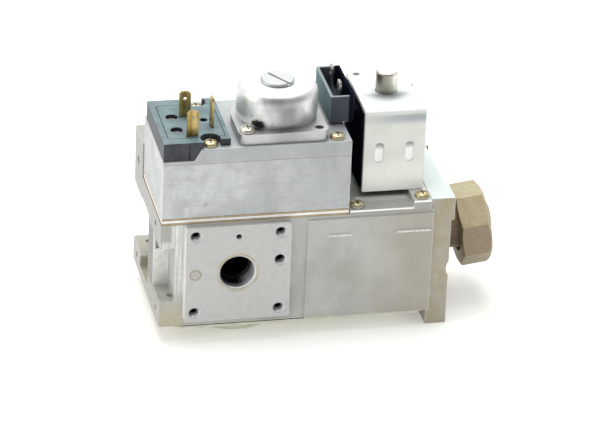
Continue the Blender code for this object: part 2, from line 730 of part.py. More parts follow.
def end_cuts():
    pocket_top = -DECK_THICKNESS - NOTCH_RADIUS
    inner = BODY_LEFT + POCKET_WIDTH
    low = (BODY_LEFT - OVERLAP, -OVERLAP, pocket_top - POCKET_HEIGHT)
    yield box("corner_pocket", low, (inner, POCKET_DEPTH, pocket_top))
    notch_x = BODY_LEFT + POCKET_WIDTH / 2
    yield vertical("pocket_notch", notch_x, POCKET_DEPTH, pocket_top - NOTCH_HEIGHT, pocket_top, NOTCH_RADIUS)
    edge = POCKET_HOLE_EDGE
    for name, y, level in (
        ("pocket_hole", edge, pocket_top - POCKET_HEIGHT),
        ("lug_top_hole", BODY_DEPTH - edge, -BODY_HEIGHT + LUG_HEIGHT),
    ):
        low, high = level - POCKET_HOLE_DEPTH, level + OVERLAP
        yield vertical(name, BODY_LEFT + edge, y, low, high, POCKET_HOLE_RADIUS, SMALL_SIDES)
    lug_middle = -BODY_HEIGHT + LUG_HEIGHT / 2
    places = [
        ("lug_hole_front", LUG_HOLE_EDGE, lug_middle, LUG_HOLE_RADIUS, LUG_HOLE_DEPTH),
        ("lug_hole_back", BODY_DEPTH - LUG_HOLE_EDGE, lug_middle, LUG_HOLE_RADIUS, LUG_HOLE_DEPTH),
        ("deck_hole", DECK_HOLE_EDGE, -DECK_THICKNESS / 2, LUG_HOLE_RADIUS, LUG_HOLE_DEPTH),
        ("pressure_tap", BODY_DEPTH - LUG_HOLE_EDGE, TAP_HEIGHT, TAP_RADIUS, TAP_DEPTH),
    ]
    for name, y, z, radius, depth in places:
        start = (BODY_LEFT - OVERLAP, y, z)
        yield rod(name, start, (BODY_LEFT + depth, y, z), radius, sides=SMALL_SIDES)
    waist_x = FLANGE_RIGHT + WAIST_RADIUS - WAIST_DEPTH
    for name, y in (("waist_front", FLANGE_SETBACK), ("waist_back", BODY_DEPTH)):
        z = INLET_Z - WAIST_DROP
        ends = ((waist_x, y - LUG_DEPTH / 2, z), (waist_x, y + LUG_DEPTH / 2, z))
        yield rod(name, *ends, WAIST_RADIUS, sides=SMALL_SIDES)


def front_hole(name, x, z, radius, depth, sides=SMALL_SIDES):
    """A hole into the port pad, with a chamfered mouth."""
    face = -PAD_PROUD
    yield rod(name, (x, face - OVERLAP, z), (x, face + depth, z), radius, sides=sides)
    mouth = ((x, face - CHAMFER, z), (x, face + CHAMFER, z))
    yield rod(name + "_mouth", *mouth, radius + 2 * CHAMFER, radius, sides=sides)


def pad_cuts():
    half = PAD_BOLT_PITCH / 2
    for column, dx in (("left", -half), ("right", half)):
        for row, dz in (("low", -half), ("high", half)):
            name = f"pad_hole_{column}_{row}"
            yield from front_hole(name, MAIN_X + dx, PORT_Z + dz, PAD_BOLT_RADIUS, PAD_BOLT_DEPTH)
    yield from front_hole("side_tap", MAIN_X + half, PORT_Z + SIDE_TAP_RISE, PAD_BOLT_RADIUS, PAD_BOLT_DEPTH)
    pilot = (MAIN_X, -PAD_PROUD - OVERLAP, PAD_TOP - PILOT_DROP)
    pilot_end = (MAIN_X, -PAD_PROUD + PILOT_DEPTH, PAD_TOP - PILOT_DROP)
    yield rod("pilot_hole", pilot, pilot_end, PILOT_RADIUS, sides=SMALL_SIDES)
    plug_hole = (MAIN_X - half, -PAD_PROUD - OVERLAP, PORT_Z)
    plug_end = (MAIN_X - half, -PAD_PROUD + PLUG_LENGTH + FIT, PORT_Z)
    yield rod("plug_hole", plug_hole, plug_end, PLUG_RADIUS + FIT, sides=SMALL_SIDES)
    yield from front_hole("port", MAIN_X, PORT_Z, PORT_RADIUS, PORT_LIP_DEPTH, SIDES)
    throat = ((MAIN_X, 0.0, PORT_Z), (MAIN_X, AXIS_Y, PORT_Z))
    yield rod("port_throat", *throat, PORT_RADIUS - PORT_LIP)


def chamber_cuts():
    floor = -BODY_HEIGHT
    seat = -OUTLET_SEAT_DEPTH
    ceiling = floor + DIAPHRAGM_CHAMBER_HEIGHT
    yield vertical("outlet_chamber", MAIN_X, AXIS_Y, seat, OVERLAP, OUTLET_CHAMBER_RADIUS)
    yield vertical("outlet_seat", MAIN_X, AXIS_Y, ceiling - OVERLAP, seat + OVERLAP, OUTLET_SEAT_RADIUS)
    yield vertical("diaphragm_chamber", MAIN_X, AXIS_Y, floor - OVERLAP, ceiling, DIAPHRAGM_RADIUS)
    ends = ((MAIN_X, AXIS_Y, PASSAGE_Z), (SOLENOID_X, AXIS_Y, PASSAGE_Z))
    yield rod("passage", *ends, PASSAGE_RADIUS, sides=SMALL_SIDES)
    seat = -SAFETY_SEAT_DEPTH
    yield vertical("safety_chamber", SOLENOID_X, AXIS_Y, seat, OVERLAP, SAFETY_CHAMBER_RADIUS)
    low = PASSAGE_Z - PASSAGE_RADIUS
    yield vertical("safety_seat", SOLENOID_X, AXIS_Y, low, seat + OVERLAP, SAFETY_SEAT_RADIUS)
    end = FLANGE_FACE + OVERLAP
    wide = TAIL_SPIGOT + RUN
    steps = [
        (0.0, end),
        (wide, end),
        (wide, TAIL_STOP),
        (INLET_RADIUS, TAIL_STOP),
        (INLET_RADIUS, SOLENOID_X),
        (0.0, SOLENOID_X),
    ]
    yield along_x(turned("inlet_way", steps, place=(0.0, AXIS_Y, INLET_Z)))


def fastener_cuts():
    for number, (x, y) in enumerate(HOUSING_SCREWS, 1):
        yield screw_hole(f"housing_hole_{number}", x, y, -SCREW_BITE - HOLE_TIP, OVERLAP)
    for number, (x, y, _) in enumerate(BONNET_SCREWS, 1):
        yield screw_hole(f"bonnet_hole_{number}", x, y, -SCREW_BITE - HOLE_TIP, OVERLAP)
    floor = -BODY_HEIGHT
    for number, (x, y) in enumerate(BOTTOM_SCREWS, 1):
        yield screw_hole(f"bottom_hole_{number}", x, y, floor - OVERLAP, floor + BOTTOM_BITE + HOLE_TIP)


def stack_sheet(name, level, thickness, material, with_chamber):
    """One of the flat sheets between the body and the housing."""
    sheet = box(name, (0.0, 0.0, level), (HOUSING_LENGTH, HOUSING_DEPTH, level + thickness), material)
    low, high = level - OVERLAP, level + thickness + OVERLAP
    for number, (x, y) in enumerate(HOUSING_SCREWS, 1):
        cut(sheet, screw_hole(f"{name}_hole_{number}", x, y, low, high))
    radius = OUTLET_CHAMBER_RADIUS if with_chamber else CHANNEL_RADIUS
    cut(sheet, vertical(f"{name}_opening", MAIN_X, AXIS_Y, low, high, radius))


def make_housing():
    top = HOUSING_LEVEL + HOUSING_HEIGHT
    housing = box(
        "servo_housing",
        (0.0, 0.0, HOUSING_LEVEL),
        (HOUSING_LENGTH, HOUSING_DEPTH, top),
        HOUSING_CAST,
    )
    for number, (x, y) in enumerate(HOUSING_SCREWS, 1):
        name = f"housing_bore_{number}"
        cut(housing, screw_hole(name, x, y, HOUSING_LEVEL - OVERLAP, top + OVERLAP))
    floor = HOUSING_LEVEL + SERVO_FLOOR
    cut(
        housing,
        vertical("servo_pocket", SERVO_X, SERVO_Y, floor, top + OVERLAP, SERVO_POCKET_RADIUS),
        vertical("servo_channel", SERVO_X, SERVO_Y, HOUSING_LEVEL - OVERLAP, floor + OVERLAP, CHANNEL_RADIUS),
        vertical("dome_channel", DOME_X, DOME_Y, HOUSING_LEVEL - OVERLAP, top + OVERLAP, CHANNEL_RADIUS),
    )


def make_cover():
    """The cover is drawn in the XZ plane: a thin ledge, a slope, then full height."""
    outline = [
        (0.0, COVER_LEVEL),
        (HOUSING_LENGTH, COVER_LEVEL),
        (HOUSING_LENGTH, COVER_TOP),
        (LEDGE_LENGTH + LEDGE_SLOPE, COVER_TOP),
        (LEDGE_LENGTH, LEDGE_TOP),
        (0.0, LEDGE_TOP),
    ]
    cover = prism("housing_cover", outline, -HOUSING_DEPTH, 0.0, HOUSING_CAST, turn=UPRIGHT)
    low, high = COVER_LEVEL - OVERLAP, COVER_TOP + OVERLAP
    for number, (x, y) in enumerate(HOUSING_SCREWS, 1):
        cut(cover, screw_hole(f"cover_hole_{number}", x, y, low, high))
    cut(
        cover,
        vertical("cover_channel", DOME_X, DOME_Y, low, high, CHANNEL_RADIUS),
        screw_hole("cover_dome_hole", *dome_screw_place(-1), low, high),
    )


def dome_screw_place(side):
    reach = DOME_FLANGE_HALF - DOME_SCREW_INSET
    return DOME_X + side * reach, DOME_Y - reach


def dome_flange_outline():
    """Square in front, with two round corners, and a half circle round the back of the dome."""
    half, corner = DOME_FLANGE_HALF, DOME_FLANGE_CORNER
    points = arc((DOME_X, DOME_Y), (half, half), 0, 180, SMALL_SIDES)
    for side, start in ((-1, 180), (1, 270)):
        centre = (DOME_X + side * (half - corner), DOME_Y - half + corner)
        points += arc(centre, (corner, corner), start, start + 90, CORNER_STEPS)
    return points


def make_dome():
    base = COVER_TOP + FIT
    deck = base + DOME_FLANGE_THICKNESS
    rim = deck + DOME_HEIGHT
    roof = rim - CAP_THREAD_LENGTH
    neck = CAP_THREAD_RADIUS + RUN + NECK_WALL
    bore = CAP_THREAD_RADIUS + RUN
    inner = DOME_TOP_RADIUS - DOME_WALL
    shoulder = (DOME_SHOULDER_WIDTH, DOME_SHOULDER)
    foot = DOME_RADIUS - DOME_UNDERCUT
    dome = turned(
        "dome_cover",
        [
            (bore, rim),
            *arc((DOME_TOP_RADIUS, rim - DOME_SHOULDER), shoulder, 90, 0, CORNER_STEPS),
            (DOME_RADIUS, deck + DOME_UNDERCUT_HEIGHT),
            (foot, deck),
            (foot, base),
            (inner, base),
            (inner, roof),
            (neck, roof),
            (neck, rim - NECK_LENGTH),
            (bore, rim - NECK_LENGTH),
        ],
        DOME_METAL,
        (DOME_X, DOME_Y, 0.0),
        ring=True,
    )
    flange = prism("dome_flange", dome_flange_outline(), base, deck)
    bore_radius = inner + DOME_WALL / 2
    cut(flange, vertical("dome_flange_bore", DOME_X, DOME_Y, base - OVERLAP, deck + OVERLAP, bore_radius))
    join(dome, flange)
    membrane_radius = inner + MEMBRANE_LIP
    seat_top = base + MEMBRANE + FIT
    cut(
        dome,
        vertical("membrane_seat", DOME_X, DOME_Y, base - OVERLAP, seat_top, membrane_radius + FIT),
        screw_hole("dome_hole_left", *dome_screw_place(-1), base - OVERLAP, deck + OVERLAP),
        screw_hole("dome_hole_right", *dome_screw_place(1), base - OVERLAP, deck + OVERLAP),
    )
    make_regulator(base, rim, bore, membrane_radius)
    return deck


def make_regulator(base, rim, bore, membrane_radius):
    """The slotted cap, the adjuster under it, and the spring-loaded membrane it sets."""
    place = (DOME_X, DOME_Y, 0.0)
    thread = bore - RUN
    head = rim + FIT
    cap = turned(
        "dome_cap",
        [
            (0.0, head + CAP_HEAD),
            (CAP_RADIUS - CAP_HEAD / 2, head + CAP_HEAD),
            (CAP_RADIUS, head + CAP_HEAD / 2),
            (CAP_RADIUS, head),
            (thread, head),
            (thread, rim - CAP_THREAD_LENGTH),
            (0.0, rim - CAP_THREAD_LENGTH),
        ],
        STEEL,
        place,
    )
    top = head + CAP_HEAD
    slot = box(
        "cap_slot",
        (-CAP_RADIUS - OVERLAP, -CAP_SLOT_WIDTH / 2, top - CAP_SLOT_DEPTH),
        (CAP_RADIUS + OVERLAP, CAP_SLOT_WIDTH / 2, top + OVERLAP),
        place=place,
    )
    slot.rotation_euler.z = math.radians(-CAP_SLOT_TURN)
    cut(cap, slot)
    adjuster_top = rim - CAP_THREAD_LENGTH - FIT
    adjuster_base = adjuster_top - ADJUSTER_LENGTH
    adjuster = puck("pressure_adjuster", thread, adjuster_base, adjuster_top, SLATE, place)
    socket_floor = adjuster_top - ADJUSTER_SOCKET_DEPTH
    cut(
        adjuster,
        rod(
            "adjuster_socket",
            (0.0, 0.0, socket_floor),
            (0.0, 0.0, adjuster_top + OVERLAP),
            ADJUSTER_SOCKET,
            sides=ADJUSTER_SOCKET_SIDES,
            place=place,
        ),
    )
    seat_top = adjuster_base - FIT
    seat_base = seat_top - SPRING_SEAT_HEIGHT
    puck("spring_seat", thread, seat_base, seat_top, STEEL, place)
    membrane_top = base + MEMBRANE
    puck("regulator_membrane", membrane_radius, base, membrane_top, RUBBER, place)
    plate_base = membrane_top + FIT
    plate_top = plate_base + REGULATOR_PLATE_HEIGHT
    puck("regulator_plate", REGULATOR_PLATE_RADIUS, plate_base, plate_top, STEEL, place)
    spring("regulator_spring", place, REGULATOR_SPRING_RADIUS, plate_top, seat_base, REGULATOR_SPRING_TURNS)


def make_connector():
    """The block fills the ledge at the left and lies over the cover at the right."""
    top = COVER_TOP + BLOCK_RISE
    left, front = FIT, BLOCK_FRONT
    right = DOME_X - DOME_FLANGE_HALF - BLOCK_DOME_GAP
    back = HOUSING_DEPTH - BLOCK_BACK_INSET
    slope_end = LEDGE_LENGTH + LEDGE_SLOPE
    outline = [
        (left, LEDGE_TOP + FIT),
        (LEDGE_LENGTH - RUN, LEDGE_TOP + FIT),
        (slope_end - RUN, COVER_TOP + FIT),
        (right, COVER_TOP + FIT),
        (right, top),
        (left, top),
    ]
    block = prism("connector_block", outline, -back, -front, SLATE, turn=UPRIGHT)
    low = COVER_TOP - OVERLAP
    wide = SCREW_HEAD + BLOCK_SCREW_CLEARANCE
    setback_low = (slope_end + OVERLAP, front - OVERLAP, low)
    cut(block, box("block_setback", setback_low, (right + OVERLAP, front + BLOCK_SETBACK, top + OVERLAP)))
    for number, (x, y) in enumerate(HOUSING_SCREWS[:2], 1):
        cut(block, vertical(f"block_screw_gap_{number}", x, y, low, top + OVERLAP, wide, SMALL_SIDES))
    slot = BLOCK_SLOT_X
    slot_low = (slot, front - OVERLAP, LEDGE_TOP - OVERLAP)
    slot_high = (slot + BLOCK_SLOT_WIDTH, front + BLOCK_SLOT_DEPTH, top - BLOCK_SLOT_DEPTH)
    cut(block, box("block_slot", slot_low, slot_high))
    bore_x = BLADE_PAIR_X - BLADE_WIDTH / 2 - FIT - BLOCK_BORE_WALL - BLOCK_BORE
    for tag, y in (("front", BLOCK_BORE_FRONT_Y), ("back", BLADE_BACK_Y)):
        start, end = LEDGE_TOP - OVERLAP, top + OVERLAP
        cut(block, vertical(f"bore_{tag}", bore_x, y, start, end, BLOCK_BORE, SMALL_SIDES))
        contact_pin(f"contact_pin_{tag}", (bore_x, y, 0.0), LEDGE_TOP + FIT, top - CONTACT_DROP)
    small = (right - BLOCK_SMALL_BORE_INSET, BLOCK_SMALL_BORE_Y)
    cut(block, vertical("bore_small", *small, low, top + OVERLAP, BLOCK_SMALL_BORE, SMALL_SIDES))
    for name, x, y, height, along_y in (
        ("terminal_blade_front", BLADE_PAIR_X, BLADE_FRONT_Y, BLADE_HEIGHT, False),
        ("terminal_blade_back", BLADE_PAIR_X, BLADE_BACK_Y, BLADE_HEIGHT, False),
        ("terminal_blade_side", right - BLADE_SIDE_INSET, BLADE_SIDE_Y, SIDE_BLADE_HEIGHT, True),
    ):
        blade(name, (x, y), top, height, BLADE_BRASS, along_y, block)


def contact_pin(name, place, bottom, top):
    """A short post standing on the ledge, with a dimple in its end."""
    profile = [
        (0.0, top - CONTACT_DIMPLE),
        (CONTACT_RADIUS - CONTACT_DIMPLE, top),
        (CONTACT_RADIUS, top),
        (CONTACT_RADIUS, bottom),
        (0.0, bottom),
    ]
    turned(name, profile, TIN, place, SMALL_SIDES)


def blade(name, place, surface, height, material, along_y, carrier):
    """A flat tab with a tapered tip and a small hole, set in a slot in its carrier."""
    half = BLADE_WIDTH / 2
    base, tip = -BLADE_BASE, height
    outline = [
        (-half, base),
        (half, base),
        (half, tip - BLADE_TIP),
        (half - BLADE_TIP, tip),
        (-half + BLADE_TIP, tip),
        (-half, tip - BLADE_TIP),
    ]
    turn = UPRIGHT
    if along_y:
        turn = Matrix.Rotation(math.pi / 2, 4, "Z") @ UPRIGHT
    spot = (*place, surface)
    thin = BLADE_THICKNESS / 2
    tab = prism(name, outline, -thin, thin, material, spot, turn)
    drop = height - BLADE_HOLE_DROP
    side = (OVERLAP, 0.0) if along_y else (0.0, OVERLAP)
    start, end = (-side[0], -side[1], drop), (*side, drop)
    cut(tab, rod(name + "_hole", start, end, BLADE_HOLE, sides=TINY_SIDES, place=spot))
    wide, narrow = half + FIT, thin + FIT
    x, y = (narrow, wide) if along_y else (wide, narrow)
    pocket = box(name + "_slot", (-x, -y, base - FIT), (x, y, OVERLAP), place=spot)
    cut(carrier, pocket)


def make_servo():
    """The small servo solenoid under the connector block, with its plunger held down by a spring."""
    place = (SERVO_X, SERVO_Y, 0.0)
    floor = HOUSING_LEVEL + SERVO_FLOOR + FIT
    roof = HOUSING_LEVEL + HOUSING_HEIGHT
    coil_top = roof - SERVO_HEADROOM
    puck("servo_coil", SERVO_POCKET_RADIUS - RUN, floor, coil_top, COPPER, place, SERVO_BORE)
    plunger_top = roof - SERVO_SPRING_LENGTH
    radius = SERVO_BORE - RUN
    puck("servo_plunger", radius, floor, plunger_top, STEEL, place)
    spring("servo_spring", place, radius - 2 * WIRE, plunger_top, roof, SERVO_SPRING_TURNS)


def make_bonnet():
    """The plate that closes the safety chamber: a thin front lip and a thick land at the right."""
    right = BODY_RIGHT - OVERLAP - FIT
    land_left = SOLENOID_X + TUBE_FOOT_RADIUS + LAND_GAP
    outline = [
        (BONNET_LEFT, FIT),
        (right, FIT),
        (right, LAND_TOP),
        (land_left, LAND_TOP),
        (land_left, BONNET_TOP),
        (BONNET_LEFT, BONNET_TOP),
    ]
    bonnet = prism("solenoid_bonnet", outline, -BODY_DEPTH, 0.0, HOUSING_CAST, turn=UPRIGHT)
    for number, (x, y, level) in enumerate(BONNET_SCREWS, 1):
        cut(bonnet, screw_hole(f"bonnet_bore_{number}", x, y, -OVERLAP, level + OVERLAP))
    bore = TUBE_RADIUS - TUBE_WALL
    cut(bonnet, vertical("plunger_bore", SOLENOID_X, AXIS_Y, -OVERLAP, LAND_TOP, bore))


def make_yoke():
    """A strip bent into an upside-down U over the coil, legs to the front and back."""
    half = YOKE_WIDTH / 2
    left, right = SOLENOID_X - half, SOLENOID_X + half
    back = YOKE_FRONT + YOKE_DEPTH
    outline = rounded((YOKE_FRONT, YOKE_BOTTOM - YOKE_BEND), (back, YOKE_TOP), YOKE_BEND)
    along = Matrix(((0.0, 0.0, 1.0, 0.0), (1.0, 0.0, 0.0, 0.0), (0.0, 1.0, 0.0, 0.0), (0.0, 0.0, 0.0, 1.0)))
    yoke = prism("solenoid_yoke", outline, left, right, ZINC, turn=along)
    steel = YOKE_STEEL
    inside_low = (left - OVERLAP, YOKE_FRONT + steel, YOKE_BOTTOM - 2 * YOKE_BEND)
    inside_high = (right + OVERLAP, back - steel, YOKE_TOP - steel)
    foot_low = (left - OVERLAP, YOKE_FRONT - OVERLAP, YOKE_BOTTOM - 2 * YOKE_BEND)
    foot_high = (right + OVERLAP, back + OVERLAP, YOKE_BOTTOM)
    under, over = YOKE_TOP - 2 * steel, YOKE_TOP + OVERLAP
    hole = (SOLENOID_X - YOKE_HOLE_X, back - YOKE_HOLE_INSET)
    cut(
        yoke,
        box("yoke_inside", inside_low, inside_high),
        box("yoke_foot", foot_low, foot_high),
        vertical("yoke_core_hole", SOLENOID_X, AXIS_Y, under, over, TUBE_RADIUS + FIT),
        vertical("yoke_hole", *hole, under, over, YOKE_HOLE, SMALL_SIDES),
        vertical("yoke_notch", right, AXIS_Y + YOKE_NOTCH_Y, under, over, YOKE_NOTCH, SMALL_SIDES),
    )
    slot_top = YOKE_TOP - YOKE_SLOT_DROP + YOKE_SLOT_HEIGHT / 2
    for name, side in (("yoke_slot_left", -1), ("yoke_slot_right", 1)):
        x = SOLENOID_X + side * YOKE_SLOT_PITCH / 2
        low = (x - YOKE_SLOT_WIDTH / 2, slot_top - YOKE_SLOT_HEIGHT)
        high = (x + YOKE_SLOT_WIDTH / 2, slot_top)
        slot = rounded(low, high, YOKE_SLOT_WIDTH / 2 - FIT)
        start, end = -YOKE_FRONT - YOKE_SLOT_DEPTH, -YOKE_FRONT + OVERLAP
        cut(yoke, prism(name, slot, start, end, turn=UPRIGHT))


def make_coil():
    """The moulded coil inside the yoke, with a neck out to the plug socket at its left."""
    left, right = COIL_LEFT, 2 * SOLENOID_X - COIL_LEFT
    front = YOKE_FRONT + YOKE_STEEL + RUN
    back = YOKE_FRONT + YOKE_DEPTH - YOKE_STEEL - RUN
    top = YOKE_TOP - YOKE_STEEL - FIT
    bottom = YOKE_BOTTOM + COIL_FOOT
    coil = prism("solenoid_coil", rounded((left, front), (right, back), COIL_CORNER), bottom, top, BLACK)
    floor = COVER_TOP + SOCKET_COVER_GAP
    rim = floor + SOCKET_HEIGHT
    socket_right = SOCKET_LEFT + SOCKET_WIDTH
    near = AXIS_Y - SOCKET_LENGTH / 2
    far = AXIS_Y + SOCKET_LENGTH / 2
    wall = SOCKET_WALL
    neck_low = (socket_right - wall, AXIS_Y - NECK_DEPTH / 2, floor)
    neck_high = (left + OVERLAP, AXIS_Y + NECK_DEPTH / 2, min(floor + NECK_HEIGHT, top) - wall)
    join(
        coil,
        box("coil_neck", neck_low, neck_high),
        prism("coil_socket", rounded((SOCKET_LEFT, near), (socket_right, far), SOCKET_CORNER), floor, rim),
    )
    hollow_low = (SOCKET_LEFT + wall, near + wall)
    hollow_high = (socket_right - wall, far - wall)
    hollow_floor = floor + SOCKET_FLOOR
    cut(
        coil,
        prism("socket_hollow", rounded(hollow_low, hollow_high, SOCKET_CORNER), hollow_floor, rim + OVERLAP),
        vertical("coil_bore", SOLENOID_X, AXIS_Y, bottom - OVERLAP, top + OVERLAP, TUBE_RADIUS + RUN),
    )
    middle = (SOCKET_LEFT + socket_right) / 2
    for name, side in (("coil_blade_front", -1), ("coil_blade_back", 1)):
        spot = (middle, AXIS_Y + side * COIL_BLADE_SPREAD / 2)
        blade(name, spot, hollow_floor, COIL_BLADE_HEIGHT, TIN, True, coil)


def make_safety_valve():
    """The guide tube through the coil, and the plunger with its seal on the seat below."""
    place = (SOLENOID_X, AXIS_Y, 0.0)
    foot = BONNET_TOP + FIT
    bore = TUBE_RADIUS - TUBE_WALL
    roof = foot + TUBE_BORE_LENGTH
    turned(
        "core_tube",
        [
            (0.0, TUBE_TOP),
            (TUBE_RADIUS - TUBE_CHAMFER, TUBE_TOP),
            (TUBE_RADIUS, TUBE_TOP - TUBE_CHAMFER),
            (TUBE_RADIUS, foot + TUBE_FOOT),
            (TUBE_FOOT_RADIUS, foot + TUBE_FOOT),
            (TUBE_FOOT_RADIUS, foot),
            (bore, foot),
            (bore, roof),
            (0.0, roof),
        ],
        STEEL,
        place,
    )
    seal_base = -SAFETY_SEAT_DEPTH + FIT
    seal_top = seal_base + SEAL
    disc_base = seal_top + FIT
    disc_top = disc_base + SAFETY_DISC
    slide = bore - RUN
    puck("safety_seal", SAFETY_DISC_RADIUS, seal_base, seal_top, RUBBER, place)
    turned(
        "safety_plunger",
        [
            (0.0, PLUNGER_TOP),
            (slide, PLUNGER_TOP),
            (slide, disc_top),
            (SAFETY_DISC_RADIUS, disc_top),
            (SAFETY_DISC_RADIUS, disc_base),
            (0.0, disc_base),
        ],
        STEEL,
        place,
    )
    spring("safety_spring", place, SAFETY_SPRING_RADIUS, disc_top, FIT, SAFETY_SPRING_TURNS)


def make_main_valve():
    """The sheet diaphragm, the stem that it lifts, and the disc held on the outlet seat by a spring."""
    place = (MAIN_X, AXIS_Y, 0.0)
    seal_base = -OUTLET_SEAT_DEPTH + FIT
    seal_top = seal_base + SEAL
    disc_base = seal_top + FIT
    disc_top = disc_base + MAIN_DISC
    hole = STEM_RADIUS + FIT
    puck("main_valve_seal", MAIN_DISC_RADIUS, seal_base, seal_top, RUBBER, place, hole)
    puck("main_valve_disc", MAIN_DISC_RADIUS, disc_base, disc_top, STEEL, place, hole)
    plate_base = DIAPHRAGM_TOP + FIT
    plate_top = plate_base + STEM_PLATE
    head = disc_top + FIT
    turned(
        "main_valve_stem",
        [
            (0.0, head + STEM_HEAD),
            (2 * STEM_RADIUS, head + STEM_HEAD),
            (2 * STEM_RADIUS, head),
            (STEM_RADIUS, head),
            (STEM_RADIUS, plate_top),
            (STEM_PLATE_RADIUS, plate_top),
            (STEM_PLATE_RADIUS, plate_base),
            (0.0, plate_base),
        ],
        STEEL,
        place,
    )
    spring("main_valve_spring", place, MAIN_SPRING_RADIUS, disc_top, PLATE_LEVEL, MAIN_SPRING_TURNS)


def make_bottom():
    low, high = (BOTTOM_LEFT, BOTTOM_MARGIN), (BODY_RIGHT - BOTTOM_MARGIN, BODY_DEPTH - BOTTOM_MARGIN)
    outline = rounded(low, high, BOTTOM_SCREW_EDGE)
    sheet_base = DIAPHRAGM_TOP - RUBBER_SHEET
    sheet = prism("main_diaphragm", outline, sheet_base, DIAPHRAGM_TOP, RUBBER)
    top = BOTTOM_PLATE_TOP
    base = top - SHEET_STEEL
    cover = prism("bottom_cover", outline, base, top, YELLOW_ZINC)
    wide = DISH_RADIUS + DISH_SLOPE
    centre = (MAIN_X + DISH_SHIFT, BOTTOM_MARGIN + DISH_EDGE + wide)
    join(cover, rod("dish", (*centre, base + SHEET_STEEL / 2), (*centre, DISH_BOTTOM), wide, DISH_RADIUS))
    hollow_floor = DISH_BOTTOM + SHEET_STEEL
    hollow = ((*centre, top + OVERLAP), (*centre, hollow_floor))
    cut(cover, rod("dish_hollow", *hollow, wide - SHEET_STEEL, DISH_RADIUS - SHEET_STEEL))
    mesh = screw_mesh("bottom_screw", BOTTOM_BITE)
    for number, (x, y) in enumerate(BOTTOM_SCREWS, 1):
        cut(sheet, screw_hole(f"sheet_hole_{number}", x, y, sheet_base - OVERLAP, DIAPHRAGM_TOP + OVERLAP))
        cut(cover, screw_hole(f"bottom_bore_{number}", x, y, base - OVERLAP, top + OVERLAP))
        screw = add(f"bottom_screw_{number}", mesh, YELLOW_ZINC, (x, y, base - FIT))
        screw.rotation_euler.x = math.pi


def make_screws(dome_deck):
    long_mesh = screw_mesh("housing_screw", COVER_TOP + SCREW_BITE)
    for number, (x, y) in enumerate(HOUSING_SCREWS, 1):
        add(f"housing_screw_{number}", long_mesh, YELLOW_ZINC, (x, y, COVER_TOP + FIT))
    for tag, rows in (("thin", BONNET_SCREWS[:2]), ("thick", BONNET_SCREWS[2:])):
        level = rows[0][2]
        mesh = screw_mesh(f"bonnet_screw_{tag}", level + SCREW_BITE)
        for number, (x, y, _) in enumerate(rows, 1):
            add(f"bonnet_screw_{tag}_{number}", mesh, YELLOW_ZINC, (x, y, level + FIT))
    mesh = screw_mesh("dome_screw", dome_deck - COVER_LEVEL)
    add("dome_screw", mesh, STEEL, (*dome_screw_place(-1), dome_deck + FIT))
    face = -PAD_PROUD
    x = MAIN_X - PAD_BOLT_PITCH / 2
    ends = ((0.0, 0.0, 0.0), (0.0, PLUG_LENGTH, 0.0))
    rod("sealing_plug", *ends, PLUG_RADIUS, sides=SMALL_SIDES, material=STEEL, place=(x, face, PORT_Z))


def make_union():
    place = (0.0, AXIS_Y, INLET_Z)
    shoulder = FLANGE_FACE + FIT
    spigot_start = TAIL_STOP + FIT
    collar_start = NUT_LEFT + NUT_LAND + TAIL_COLLAR_RADIUS * math.tan(NUT_TILT) + RUN
    collar_end = collar_start + TAIL_COLLAR
    groove = shoulder + 2 * RING_SECTION + FIT
    ring_radius = TAIL_SHOULDER_RADIUS - 2 * RING_SECTION
    tail = turned(
        "inlet_tail",
        [
            (TAIL_BORE, TAIL_END),
            (TAIL_NOSE_RADIUS - CHAMFER, TAIL_END),
            (TAIL_NOSE_RADIUS, TAIL_END - CHAMFER),
            (TAIL_NOSE_RADIUS, collar_end + CHAMFER),
            (TAIL_COLLAR_RADIUS, collar_end),
            (TAIL_COLLAR_RADIUS, collar_start),
            (TAIL_RADIUS, collar_start),
            (TAIL_RADIUS, shoulder + TAIL_SHOULDER),
            (TAIL_SHOULDER_RADIUS, shoulder + TAIL_SHOULDER),
            (TAIL_SHOULDER_RADIUS, shoulder),
            (ring_radius + RING_SECTION + FIT, shoulder),
            (ring_radius + RING_SECTION + FIT, groove),
            (ring_radius - RING_SECTION - FIT, groove),
            (ring_radius - RING_SECTION - FIT, shoulder),
            (TAIL_SPIGOT, shoulder),
            (TAIL_SPIGOT, spigot_start),
            (TAIL_BORE, spigot_start),
        ],
        BRASS,
        place,
        ring=True,
    )
    along_x(tail)
    middle = (ring_radius, shoulder + FIT / 2 + RING_SECTION)
    section = arc(middle, (RING_SECTION, RING_SECTION), 360, 0, RING_SIDES)[:-1]
    along_x(turned("inlet_ring", section, RUBBER, place, ring=True))
    make_strainer(place, spigot_start)
    make_nut()


def make_strainer(place, spigot_start):
    """A cup in the inlet bore, with windows cut right through its side."""
    outer = INLET_RADIUS - FIT
    inner = outer - STRAINER_WALL
    mouth = spigot_start - FIT
    floor = SOLENOID_X + SAFETY_CHAMBER_RADIUS - STRAINER_REACH
    rim = (mouth - floor) * STRAINER_RIM_SHARE
    cup = turned(
        "inlet_strainer",
        [
            (inner, mouth),
            (outer, mouth),
            (outer, floor),
            (0.0, floor),
            (0.0, floor + STRAINER_WALL),
            (inner, floor + STRAINER_WALL),
        ],
        STEEL,
        place,
        ring=True,
    )
    along_x(cup)
    for number in range(STRAINER_WINDOWS):
        low = (floor + rim, -STRAINER_WINDOW / 2, -INLET_RADIUS - OVERLAP)
        high = (mouth - rim, STRAINER_WINDOW / 2, INLET_RADIUS + OVERLAP)
        window = box(f"strainer_window_{number}", low, high, place=place)
        window.rotation_euler.x = math.pi * number / STRAINER_WINDOWS
        cut(cup, window)


